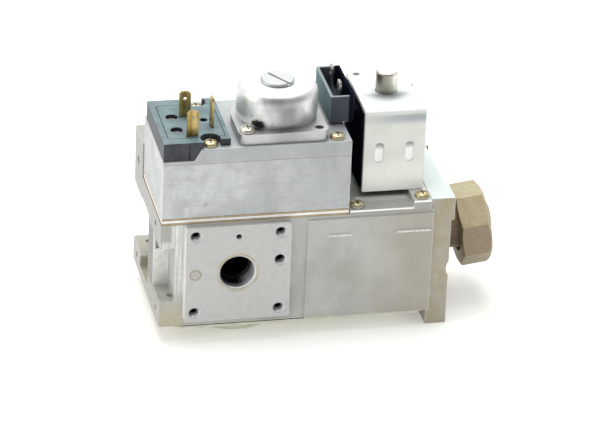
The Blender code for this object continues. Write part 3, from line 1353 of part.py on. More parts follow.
def make_nut():
    """An eight-sided union nut, loose on the tail and tipped up at its open end."""
    pivot = (NUT_MIDDLE, AXIS_Y, INLET_Z)
    tip = math.pi / 2 - NUT_TILT
    half = NUT_LENGTH / 2
    corner = NUT_ACROSS_FLATS / 2 / math.cos(math.pi / NUT_SIDES)
    angles = [2 * math.pi * (side + 0.5) / NUT_SIDES for side in range(NUT_SIDES)]
    outline = [(corner * math.cos(angle), corner * math.sin(angle)) for angle in angles]
    nut = prism("union_nut", outline, -half, half, BRASS, pivot)
    land = TAIL_RADIUS + NUT_LAND_CLEARANCE
    flat = NUT_ACROSS_FLATS / 2
    rounding = turned(
        "nut_rounding",
        [
            (0.0, half),
            (flat - NUT_CHAMFER, half),
            (corner + NUT_CHAMFER, half - 2 * NUT_CHAMFER),
            (corner + NUT_CHAMFER, -half + NUT_CHAMFER),
            (flat, -half),
            (0.0, -half),
        ],
        place=pivot,
    )
    boolean(nut, "INTERSECT", [rounding])
    hole_x = flat - NUT_HOLE_INSET
    thread = ((0.0, 0.0, -half + NUT_LAND), (0.0, 0.0, half + OVERLAP))
    cutters = [
        rod("nut_land", (0.0, 0.0, -half - OVERLAP), (0.0, 0.0, half), land, place=pivot),
        rod("nut_thread", *thread, NUT_THREAD_RADIUS, place=pivot),
        rod(
            "nut_seal_hole",
            (0.0, -hole_x, -half - OVERLAP),
            (0.0, -hole_x, -half + NUT_LAND / 2),
            NUT_HOLE,
            sides=TINY_SIDES,
            place=pivot,
        ),
    ]
    cut(nut, *cutters)
    for piece in (nut, rounding, *cutters):
        piece.rotation_euler.y = tip


def place_frame():
    """Puts the origin under the middle of the box that holds the whole valve."""
    swing = NUT_ACROSS_FLATS / 2
    nut_reach = NUT_MIDDLE + NUT_LENGTH / 2 * math.cos(NUT_TILT) + swing * math.sin(NUT_TILT)
    right = max(TAIL_END, nut_reach - NUT_CHAMFER * math.sin(NUT_TILT))
    left = BODY_LEFT
    front, back = -PAD_PROUD, BODY_DEPTH
    bottom = min(DISH_BOTTOM, FLANGE_BOTTOM)
    FRAME.location = (-(left + right) / 2, -(front + back) / 2, -bottom)


make_main_body()
stack_sheet("lower_gasket", SHEET_LEVEL, GASKET, FIBRE, True)
stack_sheet("channel_plate", PLATE_LEVEL, PLATE, ZINC, False)
stack_sheet("upper_gasket", TOP_GASKET_LEVEL, GASKET, FIBRE, False)
make_housing()
make_cover()
dome_top = make_dome()
make_connector()
make_servo()
make_bonnet()
make_yoke()
make_coil()
make_safety_valve()
make_main_valve()
make_bottom()
make_screws(dome_top)
make_union()
place_frame()
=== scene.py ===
# %% [markdown]
# # A gas valve, dressed for its photograph
#
# The solid model arrives as a fixed frame of 55 named pieces, and nothing here moves or reshapes them.
# This file adds the look: a camera that stands where the photographer stood, one node-based material
# for each kind of surface, and a studio. It also adds what the plain solids can't show: threads,
# contact sleeves, wound springs and rubber sheets cut into slices.
#
# The scene is in metres. Places and sizes below are in millimetres, and MM turns them into metres.
# +X runs from the plain end to the inlet, +Y from the port face to the back.

# %% Load the frame
import math

import bmesh
import bpy
import numpy as np
from mathutils import Matrix, Vector


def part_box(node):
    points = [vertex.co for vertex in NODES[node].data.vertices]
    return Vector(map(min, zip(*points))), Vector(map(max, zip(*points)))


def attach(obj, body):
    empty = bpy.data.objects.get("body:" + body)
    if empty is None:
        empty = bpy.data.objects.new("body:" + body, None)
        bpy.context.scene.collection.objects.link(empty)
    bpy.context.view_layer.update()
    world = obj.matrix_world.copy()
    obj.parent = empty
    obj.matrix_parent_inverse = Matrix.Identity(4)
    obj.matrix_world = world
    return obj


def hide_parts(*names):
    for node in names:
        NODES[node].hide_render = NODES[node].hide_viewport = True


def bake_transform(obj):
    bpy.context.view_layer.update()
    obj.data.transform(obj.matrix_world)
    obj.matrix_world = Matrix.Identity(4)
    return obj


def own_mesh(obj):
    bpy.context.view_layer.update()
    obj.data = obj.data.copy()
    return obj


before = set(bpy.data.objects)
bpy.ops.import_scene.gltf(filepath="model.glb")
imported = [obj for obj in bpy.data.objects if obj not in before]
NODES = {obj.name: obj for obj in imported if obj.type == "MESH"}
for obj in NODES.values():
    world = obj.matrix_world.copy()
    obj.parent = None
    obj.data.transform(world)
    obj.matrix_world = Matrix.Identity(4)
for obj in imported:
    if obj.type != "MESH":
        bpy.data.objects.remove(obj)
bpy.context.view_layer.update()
MM = 0.001

# %% [markdown]
# ## Where things are
#
# A few places on the valve drive both the materials and the new pieces. They are measured from the
# middle of the base, the same origin as the solid model.

# %% Places on the valve
PORT_X, PORT_Z = -43.0, 33.875
PLUG_X = -61.5
PAD_FACE = -33.9
FLANGE_LEFT = 43.2
COVER_SEAM = 85.5
DOME_CENTRE, DOME_DECK = (-23.6, -9.6), 97.0
SOLENOID_CENTRE = (26.9, 0.9)
NUT_PIVOT = Vector((67.948, 0.9, 32.325))
NUT_TILT = math.radians(7.5)
NUT_LENGTH = 13.5
print("port at", PORT_X, PORT_Z, "and nut at", tuple(NUT_PIVOT))

# %% [markdown]
# ## Camera
#
# The photograph was taken with a long lens from a little to the left and about 27 degrees above. The
# camera could be aimed by a constraint, but that leaves out its small roll, so its matrix is set: its
# axes come from azimuth, elevation and roll. The lens shift puts the valve at the same place in the
# picture.

# %% Camera
PICTURE = (600, 434)
AZIMUTH, ELEVATION, ROLL = (math.radians(angle) for angle in (-13.087, 27.178, 2.541))
DISTANCE, LENS, SENSOR = 1.6603, 228.6, 36.0
SHIFT = (-0.023, -0.0428)
AIM = Vector((-0.004017, -0.002875, 0.054605))
FAR_LIMIT = 100.0
scene = bpy.context.scene


def added(name, data):
    """A new object in the scene, at the origin, that holds a mesh, a lamp or a camera."""
    made = bpy.data.objects.new(name, data)
    scene.collection.objects.link(made)
    return made


def camera_axes(azimuth, elevation, roll):
    """Right, up and backward unit vectors of a camera that looks down from an azimuth and elevation."""
    right = Vector((math.cos(azimuth), math.sin(azimuth), 0.0))
    flat = math.cos(elevation)
    back = Vector((math.sin(azimuth) * flat, -math.cos(azimuth) * flat, math.sin(elevation)))
    turn = Matrix.Rotation(roll, 3, back)
    return turn @ right, turn @ back.cross(right), back


scene.render.resolution_x, scene.render.resolution_y = PICTURE
camera = added("camera", bpy.data.cameras.new("camera"))
scene.camera = camera
axes = camera_axes(AZIMUTH, ELEVATION, ROLL)
camera.matrix_world = Matrix.Translation(AIM + axes[2] * DISTANCE) @ Matrix(axes).transposed().to_4x4()
camera.data.sensor_width = SENSOR
camera.data.lens = LENS
camera.data.shift_x, camera.data.shift_y = SHIFT
camera.data.clip_end = FAR_LIMIT
print("camera", [round(x, 3) for x in camera.location])

# %% [markdown]
# ## Arithmetic for shaders
#
# Nodes could be wired one by one, but then no one can read the pattern. A `Field` is a value that the
# renderer works out at each point of a surface. Adding or multiplying fields adds Math nodes, so a
# pattern reads like the formula that it is. `node` adds any other node.

# %% The Field class
class Field:
    """A value in a node tree; arithmetic on it adds Math nodes to that tree."""

    def __init__(self, tree, socket=None):
        self.tree = tree
        self.socket = socket

    def fill(self, socket, value):
        """Links a field to a socket, or sets the socket to a plain value."""
        if isinstance(value, Field):
            self.tree.links.new(value.socket, socket)
        else:
            socket.default_value = value

    def node(self, kind, output, inputs, **settings):
        """Any node: settings are its properties, inputs its sockets by name or number."""
        made = self.tree.nodes.new(kind)
        for key, value in settings.items():
            setattr(made, key, value)
        for key, value in inputs.items():
            self.fill(made.inputs[key], value)
        return Field(self.tree, made.outputs[output])

    def maths(self, operation, *values):
        """One Math node on the given values."""
        return self.node("ShaderNodeMath", 0, dict(enumerate(values)), operation=operation)

    def __add__(self, other):
        return self.maths("ADD", self, other)

    def __sub__(self, other):
        return self.maths("SUBTRACT", self, other)

    def __rsub__(self, other):
        return self.maths("SUBTRACT", other, self)

    def __mul__(self, other):
        return self.maths("MULTIPLY", self, other)

    def __abs__(self):
        return self.maths("ABSOLUTE", self)

    def __neg__(self):
        return self.maths("MULTIPLY", self, -1.0)

    __radd__ = __add__
    __rmul__ = __mul__

    def ramp(self, low, high):
        """0 at low, 1 at high, and an S-curve between; low may be the larger."""
        inputs = {"Value": self, "From Min": low, "From Max": high}
        return self.node("ShaderNodeMapRange", 0, inputs, interpolation_type="SMOOTHSTEP")

    def window(self, low, rise, fall, high):
        """0 below low and above high, 1 from rise to fall, and S-curves between."""
        return self.ramp(low, rise) * self.ramp(high, fall)

    def least(self, other):
        """The smaller of two values."""
        return self.maths("MINIMUM", self, other)

    def most(self, other):
        """The larger of two values."""
        return self.maths("MAXIMUM", self, other)

    def root(self):
        """The square root."""
        return self.maths("SQRT", self)


print("Field is ready")

# %% [markdown]
# ## Shared patterns
#
# `Surface` starts a Principled material and keeps the coordinates in millimetres, so that every
# pattern below can be given its real size. The solids are fixed, so soft corners aren't cut but come
# from the Bevel node: the angle between its normal and the face's own is also a mask of the edges,
# which are lightened for wear and for a painted highlight. A colour is built up like paint: `layers`
# lays coats over a base, each by its own share.

# %% The Surface class
EDGE_START, EDGE_FULL = 0.004, 0.12
BEVEL_SAMPLES = 6
NOISE_ROUGHNESS = 0.55


class Surface:
    """A Principled material with coordinates in millimetres and helpers for common patterns.

    aside, ahead and up say how far a face looks along X, Y and Z; edge is a mask of the corners.
    """

    def __init__(self, name, corner):
        self.material = bpy.data.materials.new(name)
        self.material.use_nodes = True
        tree = self.material.node_tree
        self.shader = tree.nodes["Principled BSDF"]
        self.start = Field(tree)
        raw = self.start.node("ShaderNodeTexCoord", "Object", {})
        self.place = self.scaled(raw, (1.0 / MM,) * 3)
        self.x, self.y, self.z = self.split(self.place)
        face = self.start.node("ShaderNodeNewGeometry", "True Normal", {})
        self.aside, self.ahead, self.up = self.split(face)
        rounding = {"Radius": corner * MM}
        self.soft = self.start.node("ShaderNodeBevel", "Normal", rounding, samples=BEVEL_SAMPLES)
        inputs = {0: self.soft, 1: face}
        alike = self.start.node("ShaderNodeVectorMath", "Value", inputs, operation="DOT_PRODUCT")
        self.edge = (1.0 - alike).ramp(EDGE_START, EDGE_FULL)

    def scaled(self, vector, factors):
        """A vector stretched by a factor along each axis."""
        inputs = {0: vector, 1: factors}
        return self.start.node("ShaderNodeVectorMath", "Vector", inputs, operation="MULTIPLY")

    def split(self, vector):
        """The three parts of a vector."""
        parts = self.start.node("ShaderNodeSeparateXYZ", 0, {"Vector": vector}).socket.node
        return [Field(self.start.tree, socket) for socket in parts.outputs]

    def joined(self, x, y, z):
        """A vector from its three parts."""
        return self.start.node("ShaderNodeCombineXYZ", 0, {"X": x, "Y": y, "Z": z})

    def noise(self, size, detail, stretch=(1.0, 1.0, 1.0), at=None):
        """Noise from 0 to 1 whose lumps are about size millimetres across."""
        vector = self.scaled(self.place if at is None else at, stretch)
        inputs = {"Vector": vector, "Scale": 1.0 / size, "Detail": detail, "Roughness": NOISE_ROUGHNESS}
        return self.start.node("ShaderNodeTexNoise", 0, inputs)

    def mix(self, first, second, share):
        """Two colours mixed; a share of 1 gives the second."""
        inputs = {0: share, 6: first, 7: second}
        return self.start.node("ShaderNodeMix", 2, inputs, data_type="RGBA")

    def layers(self, colour, *coats):
        """A colour with coats laid over it in turn; each coat is a colour and its share."""
        for coat, share in coats:
            colour = self.mix(colour, coat, share)
        return colour

    def distance(self, first, second):
        """The length of a line with these two parts square to each other."""
        return (first * first + second * second).root()

    def finish(self, colour, roughness, metallic, height, bump):
        """Plugs the fields in; height is in units of bump millimetres."""
        inputs = {"Height": height, "Distance": bump * MM, "Normal": self.soft, "Strength": 1.0}
        normal = self.start.node("ShaderNodeBump", "Normal", inputs)
        values = {"Base Color": colour, "Roughness": roughness, "Metallic": metallic, "Normal": normal}
        for socket, value in values.items():
            self.start.fill(self.shader.inputs[socket], value)
        return self.material


def rgb(red, green, blue):
    """A colour that covers fully."""
    return (red, green, blue, 1.0)


def scaled_rgb(colour, factor):
    """A colour made darker or lighter by a factor."""
    return rgb(*(factor * part for part in colour[:3]))


print("Surface is ready")

# %% [markdown]
# ## Die-cast body
#
# The casting is a light grey that turns warm and brownish towards the inlet. Its lugs are brown at the
# foot and the post at the plain end has pale streaks. At the plain end painted shade darkens the web,
# the faces that look along -X and the top corner, and painted light brightens the pocket. An image
# texture would need an unwrapped mesh and blurs close up. Instead each of these is a mask: the product
# of a few ramps along X, Y or Z, and of the way the face looks.

# %% Body casting: the rough skin
BODY_GREY, BODY_DARK = rgb(0.49, 0.495, 0.475), rgb(0.38, 0.378, 0.352)
WARM, TAN, LUG = rgb(0.37, 0.325, 0.245), rgb(0.385, 0.32, 0.19), rgb(0.50, 0.46, 0.325)
POST_STREAK, POCKET_LIGHT = rgb(0.78, 0.78, 0.76), rgb(0.92, 0.92, 0.89)
END_SHADE, WEB_SHADE = rgb(0.36, 0.36, 0.35), rgb(0.12, 0.12, 0.115)


def cast_skin(s, cloud, stain):
    """Grey clouds, a streaked post, a warm inlet end, brown lugs, and painted shade and light at the plain
    end.
    """
    streak = s.noise(0.9, 3.0, (1.0, 0.3, 0.03))
    forward = (-s.ahead).ramp(0.5, 0.9)
    post = s.x.ramp(-64.0, -66.0) * s.z.ramp(20.0, 26.0) * forward
    # Painted shade: the top corner of the plain end is darkened.
    crown = s.x.ramp(-71.0, -72.5) * s.z.ramp(48.0, 50.0)
    warm = s.x.ramp(5.0, FLANGE_LEFT) * (0.30 + 0.55 * stain)
    flange = s.x.ramp(FLANGE_LEFT - 0.4, FLANGE_LEFT + 0.6)
    lugs = s.z.ramp(24.0, 9.0) * (s.x + 6.0 * stain).ramp(-60.0, -65.0)
    foot = s.z.ramp(11.0, 7.0) * stain.ramp(0.4, 0.7)
    # Painted light: the pocket's front-facing wall is made pale against the shade inside it.
    pocket = s.x.ramp(-68.0, -69.0) * s.y.ramp(-28.5, -26.0) * s.z.window(16.0, 18.0, 47.0, 49.0)
    # Painted shade: faces at the plain end that look along -X are darkened.
    end = (-s.aside).ramp(0.7, 0.9) * s.x.ramp(-75.0, -75.8)
    # Painted shade: the web at the plain end is darkened as if it lay in a recess.
    web = end * s.z.window(17.0, 21.0, 44.0, 48.0) * s.y.ramp(2.0, -2.0)
    return s.layers(
        s.mix(BODY_GREY, BODY_DARK, cloud.ramp(0.36, 0.70)),
        (POST_STREAK, post * (0.30 + 0.7 * streak.ramp(0.42, 0.66))),
        (BODY_DARK, 0.9 * crown),
        (WARM, warm),
        (TAN, flange * stain.ramp(0.25, 0.75)),
        (LUG, 0.9 * lugs),
        (TAN, 0.5 * foot),
        (POCKET_LIGHT, pocket * forward),
        (END_SHADE, 0.8 * end),
        (WEB_SHADE, web * (0.45 + 0.4 * stain)),
    )


print(cast_skin.__name__, "defined")

# %% [markdown]
# The port pad is machined, so it is paler and finer than the skin. A tan ring of old sealant surrounds
# the port and a thinner one the plug: each is a band of distances from an axis, made uneven by noise.
# Short raised ridges on the front get a painted highlight, picked out by their depth, and the pad's side
# that looks along -X gets painted light.

# %% Body casting: the machined pad
PAD_GREY, MOTTLE, SPECKLE = rgb(0.545, 0.545, 0.54), rgb(0.37, 0.365, 0.345), rgb(0.62, 0.62, 0.60)
PAD_SIDE_LIGHT, SEALANT, COLLAR = rgb(0.95, 0.95, 0.93), rgb(0.44, 0.38, 0.22), rgb(0.32, 0.28, 0.17)
RIDGE_HIGHLIGHT, PIT, WORN_EDGE_HIGHLIGHT = rgb(0.88, 0.87, 0.84), rgb(0.28, 0.27, 0.25), rgb(0.84, 0.84, 0.82)
FLANGE_TOP = rgb(0.74, 0.83, 0.81)
SEALANT_RADIUS, COLLAR_RADIUS = 8.7, 2.4


def cast_marks(s, colour, cloud, stain, depth, pad, out):
    """Pad face, side with painted light, sealant, ridges and worn edges with painted highlights, pits,
    pale flange top.
    """
    # Painted light: the pad's side that looks along -X is made pale.
    side = (-s.aside).ramp(0.5, 0.8) * depth.ramp(3.4, 3.2) * s.x.ramp(-60.0, -64.0)
    ring = abs(out - SEALANT_RADIUS - 1.2 * (stain - 0.5)).ramp(0.8, 0.2) * pad
    plug = s.distance(s.x - PLUG_X, s.z - PORT_Z)
    collar = abs(plug - COLLAR_RADIUS).ramp(0.45, 0.15) * pad
    # Painted highlight along the tops of the raised ridges.
    ridge = depth.window(1.9, 2.0, 2.40, 2.47) * s.x.ramp(-12.0, -11.0)
    top = s.up.ramp(0.6, 0.9) * s.z.ramp(54.0, 56.0) * s.x.ramp(38.0, 40.0)
    return s.layers(
        colour,
        (PAD_GREY, pad * (0.75 + 0.25 * cloud)),
        (MOTTLE, 0.26 * s.noise(2.4, 4.0).ramp(0.42, 0.72)),
        (SPECKLE, 0.32 * s.noise(0.7, 3.0).ramp(0.40, 0.76) * (0.5 + 0.5 * pad)),
        (PAD_SIDE_LIGHT, side),
        (SEALANT, 0.8 * ring * stain.ramp(0.3, 0.6)),
        (COLLAR, 0.8 * collar),
        (RIDGE_HIGHLIGHT, ridge * (0.25 + 0.65 * s.noise(1.0, 3.0).ramp(0.38, 0.60))),
        (PIT, 0.22 * s.noise(3.2, 5.0).ramp(0.64, 0.76)),
        # Edges lightened for wear and a painted highlight.
        (WORN_EDGE_HIGHLIGHT, 0.8 * s.edge),
        (FLANGE_TOP, top * (0.8 + 0.2 * cloud)),
    )


print(cast_marks.__name__, "defined")

# %% [markdown]
# A hole's wall is painted bright at the mouth as light and black further in as shade. Light alone could
# do that, but a white booth sends too much of it into shallow solids, so depth darkens the wall as painted
# shade. The port is wide enough to let light onto one side of its bore, which is painted bright for
# longer. Walls that look along +X get painted shade.

# %% Body casting: walls of the holes
PAD_HOLES, PILOT = 21.6, (-43.24, 51.9)
HOLE_MOUTH_LIGHT, HOLE_SHADE = rgb(0.97, 0.97, 0.96), rgb(0.10, 0.10, 0.10)
HOLE_DEPTH_SHADE = rgb(0.004, 0.004, 0.006)
BORE_SHADE, BORE_LIT = rgb(0.30, 0.315, 0.35), rgb(0.92, 0.92, 0.95)


def hole_walls(s, colour, depth, out):
    """Painted light and shade on the walls of the port, bolt holes and pilot hole, by depth behind the
    pad's face.
    """
    across = abs(s.x - PORT_X).most(abs(s.z - PORT_Z))
    hole = across.ramp(PAD_HOLES + 0.4, PAD_HOLES) * depth.window(0.25, 0.5, 48.0, 52.0)
    pilot = s.distance(s.x - PILOT[0], s.z - PILOT[1]).ramp(1.9, 1.6)
    port = out.ramp(9.6, 9.0)
    lit = port * (-s.aside).ramp(0.1, 0.7)
    black = ((1.0 - lit) * depth.ramp(2.6, 5.0) + lit * depth.ramp(7.0, 11.0)).most(pilot)
    # Painted light and shade: a bright mouth, shade on walls that look along +X, black with depth.
    wall = s.layers(
        HOLE_MOUTH_LIGHT,
        (s.mix(BORE_SHADE, BORE_LIT, lit), port * depth.ramp(0.8, 1.2)),
        (HOLE_SHADE, s.aside.ramp(0.2, 0.7)),
        (HOLE_DEPTH_SHADE, black),
    )
    return s.mix(colour, wall, hole)


print(hole_walls.__name__, "defined")

# %% [markdown]
# Grain and the cutter's fine circles are smaller than a pixel of the picture. Real faces would be wasted
# on them, so they go into the bump's height: noise for the grain, and a sine of the distance from the
# port for the circles.

# %% Body casting: the whole finish
RAISED_RING, RAISED_RADIUS, FRONT_DEPTH = (0.95, 32.0), 1.7, 2.5
CUTTER_WAVE = 18.0


def cast_body():
    """Skin, pad and holes, with grain, cutter marks about the port and a plain raised ring."""
    s = Surface("cast_body", corner=0.6)
    grain, cloud, stain = s.noise(0.45, 3.0), s.noise(20.0, 5.0), s.noise(7.0, 4.0)
    depth = s.y - PAD_FACE
    pad = depth.ramp(1.4, 0.5)
    out = s.distance(s.x - PORT_X, s.z - PORT_Z)
    colour = cast_skin(s, cloud, stain)
    colour = cast_marks(s, colour, cloud, stain, depth, pad, out)
    colour = hole_walls(s, colour, depth, out)
    away = s.distance(s.x - RAISED_RING[0], s.z - RAISED_RING[1])
    ring = abs(away - RAISED_RADIUS).ramp(0.45, 0.15) * abs(depth - FRONT_DEPTH).ramp(0.3, 0.1)
    cutter = s.start.maths("SINE", out * CUTTER_WAVE) * pad * 0.12
    height = grain * (1.0 - 0.75 * pad) + cutter + 0.6 * stain + 1.2 * ring
    return s.finish(colour, 0.42 + 0.22 * grain, 0.45, height, 0.05)


print(cast_body.__name__, "defined")

# %% [markdown]
# ## Housing casting
#
# The upper casting is cooler and smoother, with darker water stains, short level scuffs and a pale
# edge, lightened for wear and a painted highlight. It darkens towards the coil, and the lid above the
# seam is a shade darker than the wall below. One noise looks the same everywhere, so stains of four
# sizes are laid over each other.

# %% Housing casting
HOUSING_PALE, HOUSING_GREY = rgb(0.59, 0.617, 0.622), rgb(0.47, 0.49, 0.498)
FAR_GREY, LID_GREY = rgb(0.42, 0.44, 0.448), rgb(0.40, 0.425, 0.435)
WATER_STAIN, DEEP_STAIN = rgb(0.36, 0.375, 0.385), rgb(0.24, 0.25, 0.26)
DULL_SPOT, SCUFF = rgb(0.40, 0.415, 0.42), rgb(0.34, 0.35, 0.36)
GLINT, HOUSING_EDGE_HIGHLIGHT = rgb(0.64, 0.66, 0.665), rgb(0.88, 0.89, 0.89)


def cast_housing():
    """Clouds and stains of several sizes, scuffs drawn out along the wall, and bright grains."""
    s = Surface("cast_housing", corner=0.45)
    grain, cloud, blot = s.noise(0.4, 3.0), s.noise(24.0, 4.0), s.noise(5.0, 5.0)
    broad = s.noise(11.0, 4.0, (1.0, 1.0, 0.5))
    scuff = s.noise(1.8, 3.0, (0.05, 0.05, 1.0)).ramp(0.54, 0.70)
    colour = s.layers(
        s.mix(HOUSING_PALE, HOUSING_GREY, cloud.ramp(0.38, 0.62)),
        (FAR_GREY, 0.75 * s.x.ramp(-45.0, -8.0)),
        (LID_GREY, 0.7 * s.z.ramp(COVER_SEAM - 0.2, COVER_SEAM + 0.2)),
        (WATER_STAIN, 0.5 * broad.ramp(0.50, 0.66)),
        (WATER_STAIN, 0.32 * blot.ramp(0.40, 0.66)),
        (DEEP_STAIN, 0.55 * blot.ramp(0.62, 0.76)),
        (DULL_SPOT, 0.30 * s.noise(1.8, 5.0).ramp(0.44, 0.70)),
        (SCUFF, 0.35 * scuff),
        (GLINT, 0.40 * grain.ramp(0.48, 0.70)),
        # Edges lightened for wear and a painted highlight.
        (HOUSING_EDGE_HIGHLIGHT, 0.85 * s.edge),
    )
    height = 0.6 * grain + 0.7 * blot - 0.5 * scuff
    return s.finish(colour, 0.36 + 0.2 * grain + 0.12 * blot, 0.5, height, 0.04)


print(cast_housing.__name__, "defined")

# %% [markdown]
# ## Turned metals
#
# The dome and the turned pieces carry fine rings about their axis: noise is looked up at (turn, height,
# radius) with the turn stretched long. An anisotropic shader could stretch the highlights alike, but one
# lookup serves colour, roughness and bump at once. The middle of each upright wall is painted darker, as
# a dark reflection. The dome's wall has a deeper painted dip there and a painted highlight on its left,
# its flange is darker, and a black painted reflection lies beside its screw. The core tube has painted
# shade on its left.

# %% Turned metal
REFLECTION_SPOT, REFLECTION_BLACK = (-34.6, -23.4, 98.9), rgb(0.016, 0.013, 0.011)


def dome_wall(s, x, upright, light, dark):
    """Coats for the dome: a painted dark dip in its wall, a painted highlight on its left, and the darker
    flange.
    """
    # Painted dark reflection dipping into the middle of the dome's wall.
    dip = abs(x - 1.4).ramp(9.0, 1.0) * s.z.ramp(DOME_DECK + 14.5, DOME_DECK + 9.5) * upright
    # Painted highlight on the left of the dome's wall.
    left = x.ramp(-10.0, -14.0) * upright
    flange = s.z.ramp(DOME_DECK + 0.6, DOME_DECK + 0.2)
    return [(scaled_rgb(dark, 0.5), 0.85 * dip), (light, 0.6 * left), (dark, 0.74 * flange)]


def dome_reflection_patch(s):
    """A ragged black patch of painted reflection: noise is added to the distance from its middle, which
    counts height more.
    """
    level = s.distance(s.x - REFLECTION_SPOT[0], s.y - REFLECTION_SPOT[1])
    ragged = s.distance(level, 1.5 * (s.z - REFLECTION_SPOT[2])) + 3.0 * (s.noise(1.6, 4.0) - 0.5)
    # Painted reflection: a ragged black patch beside the dome's screw.
    return [(REFLECTION_BLACK, 0.95 * ragged.ramp(4.3, 2.2))]


def tube_left_shade(s, x, upright, light, dark):
    """One coat for the core tube: painted shade on the left of its wall."""
    # Painted shade on the left of the tube's wall.
    return [(scaled_rgb(dark, 0.45), 0.8 * x.ramp(3.5, -1.0) * upright)]


def turned_metal(name, centre, light, dark, roughness, wall=0.5, under=None, over=None):
    """Rings, broad bands and wear about an upright axis, and a painted dark reflection in the middle of
    the wall.

    wall is how dark that painted middle is; under and over give coats laid below and above the bright
    edges.
    """
    s = Surface(name, corner=0.3)
    x, y = s.x - centre[0], s.y - centre[1]
    radius = s.distance(x, y)
    turn = s.start.maths("ARCTAN2", y, x)
    rings = s.noise(0.2, 2.0, at=s.joined(0.25 * turn, s.z, radius))
    broad = s.noise(1.5, 2.0, at=s.joined(2.4 * turn, 0.10 * s.z, 0.10 * radius))
    wear = s.noise(3.5, 4.0)
    upright = s.up.ramp(0.94, 0.84)
    bands = (0.15 + 0.5 * upright) * broad.ramp(0.42, 0.62)
    colour = s.layers(
        s.mix(light, dark, (bands + 0.4 * rings.ramp(0.5, 0.8)).least(1.0)),
        (dark, (0.25 + 0.35 * upright) * wear.ramp(0.56, 0.72)),
        # Painted dark reflection in the middle of the upright wall.
        (dark, wall * upright * (1.0 - 0.95 * abs(x).ramp(3.0, 12.0))),
        *(under(s, x, upright, light, dark) if under else ()),
        # Edges lightened for wear and a painted highlight.
        (light, 0.7 * s.edge),
        *(over(s) if over else ()),
    )
    return s.finish(colour, roughness + 0.16 * rings + 0.1 * wear, 1.0, 0.4 * rings + wear, 0.014)


print(turned_metal.__name__, "defined")

# %% [markdown]
# ## Plated sheet
#
# Plated sheet has clouds of yellow and blue from its passivation and fine lines from the rolling mill,
# drawn out along the way it was rolled. In front of the yoke the bonnet is polished, and a painted
# reflection of what stands over it lies in its colour: pale near the yoke, darker towards the front. A
# true mirror would show only the black coil there, so the gradient is part of the colour. The bonnet's
# front edge is painted grey as shade, with a painted highlight along its top.

# %% Plated sheet
ROLLED_UP, ROLLED_BACK, ROLLED_ACROSS = (1.0, 1.0, 0.12), (1.0, 0.2, 1.0), (0.2, 1.0, 1.0)
LINE_GREY, SHEET_EDGE_HIGHLIGHT = rgb(0.40, 0.40, 0.39), rgb(0.92, 0.92, 0.91)
LAND_LEFT, LAND_RIGHT, LAND_BACK = 10.0, 34.25, -18.0
PLATE_TOP, CORNER_RISE = 58.6, 2.85
LAND_PALE, LAND_DARK = rgb(0.84, 0.85, 0.79), rgb(0.36, 0.37, 0.34)
RIM_SHADE, RIM_HIGHLIGHT = rgb(0.36, 0.36, 0.34), rgb(0.97, 0.97, 0.95)


def bonnet_land(s, patch):
    """The polished strip's mask, with coats of painted reflection for that strip and of painted shade and
    highlight for the front edge.
    """
    strip = s.x.window(LAND_LEFT, LAND_LEFT + 1.0, LAND_RIGHT - 1.0, LAND_RIGHT)
    strip = strip * s.y.ramp(LAND_BACK + 0.5, LAND_BACK - 0.5) * s.up.ramp(0.5, 0.9)
    # Painted reflection: pale near the yoke, darker towards the front.
    mirror = s.mix(LAND_PALE, LAND_DARK, s.y.ramp(LAND_BACK - 1.5, LAND_BACK - 6.5))
    level = PLATE_TOP + CORNER_RISE * s.x.ramp(LAND_RIGHT - 0.1, LAND_RIGHT)
    # Painted shade on the front edge, with a painted highlight along its top.
    rim = s.mix(RIM_SHADE, RIM_HIGHLIGHT, (s.z - level).ramp(-0.9, -0.6))
    polish = strip * (0.75 + 0.25 * patch.ramp(0.40, 0.60))
    return strip, [(mirror, polish), (rim, (-s.ahead).ramp(0.6, 0.9))]


def plated(name, colours, roughness, metallic=0.85, rolled=ROLLED_UP, land=None):
    """Sheet in three colours, with rolling lines; land gives a polished strip, where metal shows less."""
    s = Surface(name, corner=0.35)
    light, tint, other = colours
    brush, cloud, patch = s.noise(0.3, 2.0, rolled), s.noise(7.0, 3.0), s.noise(14.0, 2.0)
    lines = s.noise(0.6, 2.0, tuple(0.3 * part if part < 1.0 else part for part in rolled))
    strip, coats = land(s, patch) if land else (0.0, [])
    colour = s.layers(
        s.mix(light, tint, 0.7 * cloud.ramp(0.40, 0.64)),
        (other, 0.6 * patch.ramp(0.45, 0.65)),
        (LINE_GREY, 0.35 * lines.ramp(0.62, 0.74)),
        *coats,
        # Edges lightened for wear and a painted highlight.
        (SHEET_EDGE_HIGHLIGHT, 0.8 * s.edge),
    )
    rough = roughness + 0.14 * brush + 0.12 * cloud
    return s.finish(colour, rough, metallic * (1.0 - 0.6 * strip), brush + 0.5 * cloud, 0.016)


print(plated.__name__, "defined")

# %% [markdown]
# ## Yoke
#
# The bent strip over the coil is bright zinc. Just under its front bend lies a darker band, and rubbing
# has left faint upright streaks. The strip's two slots are pale, with painted shade under their top ends,
# and on its top a dark patch is painted as the reflection of the core tube. All are ramps of height or of
# distance from the tube's axis, so each can be moved without touching the others. The front is also
# painted paler low down, as light, and the top a little darker, as shade.

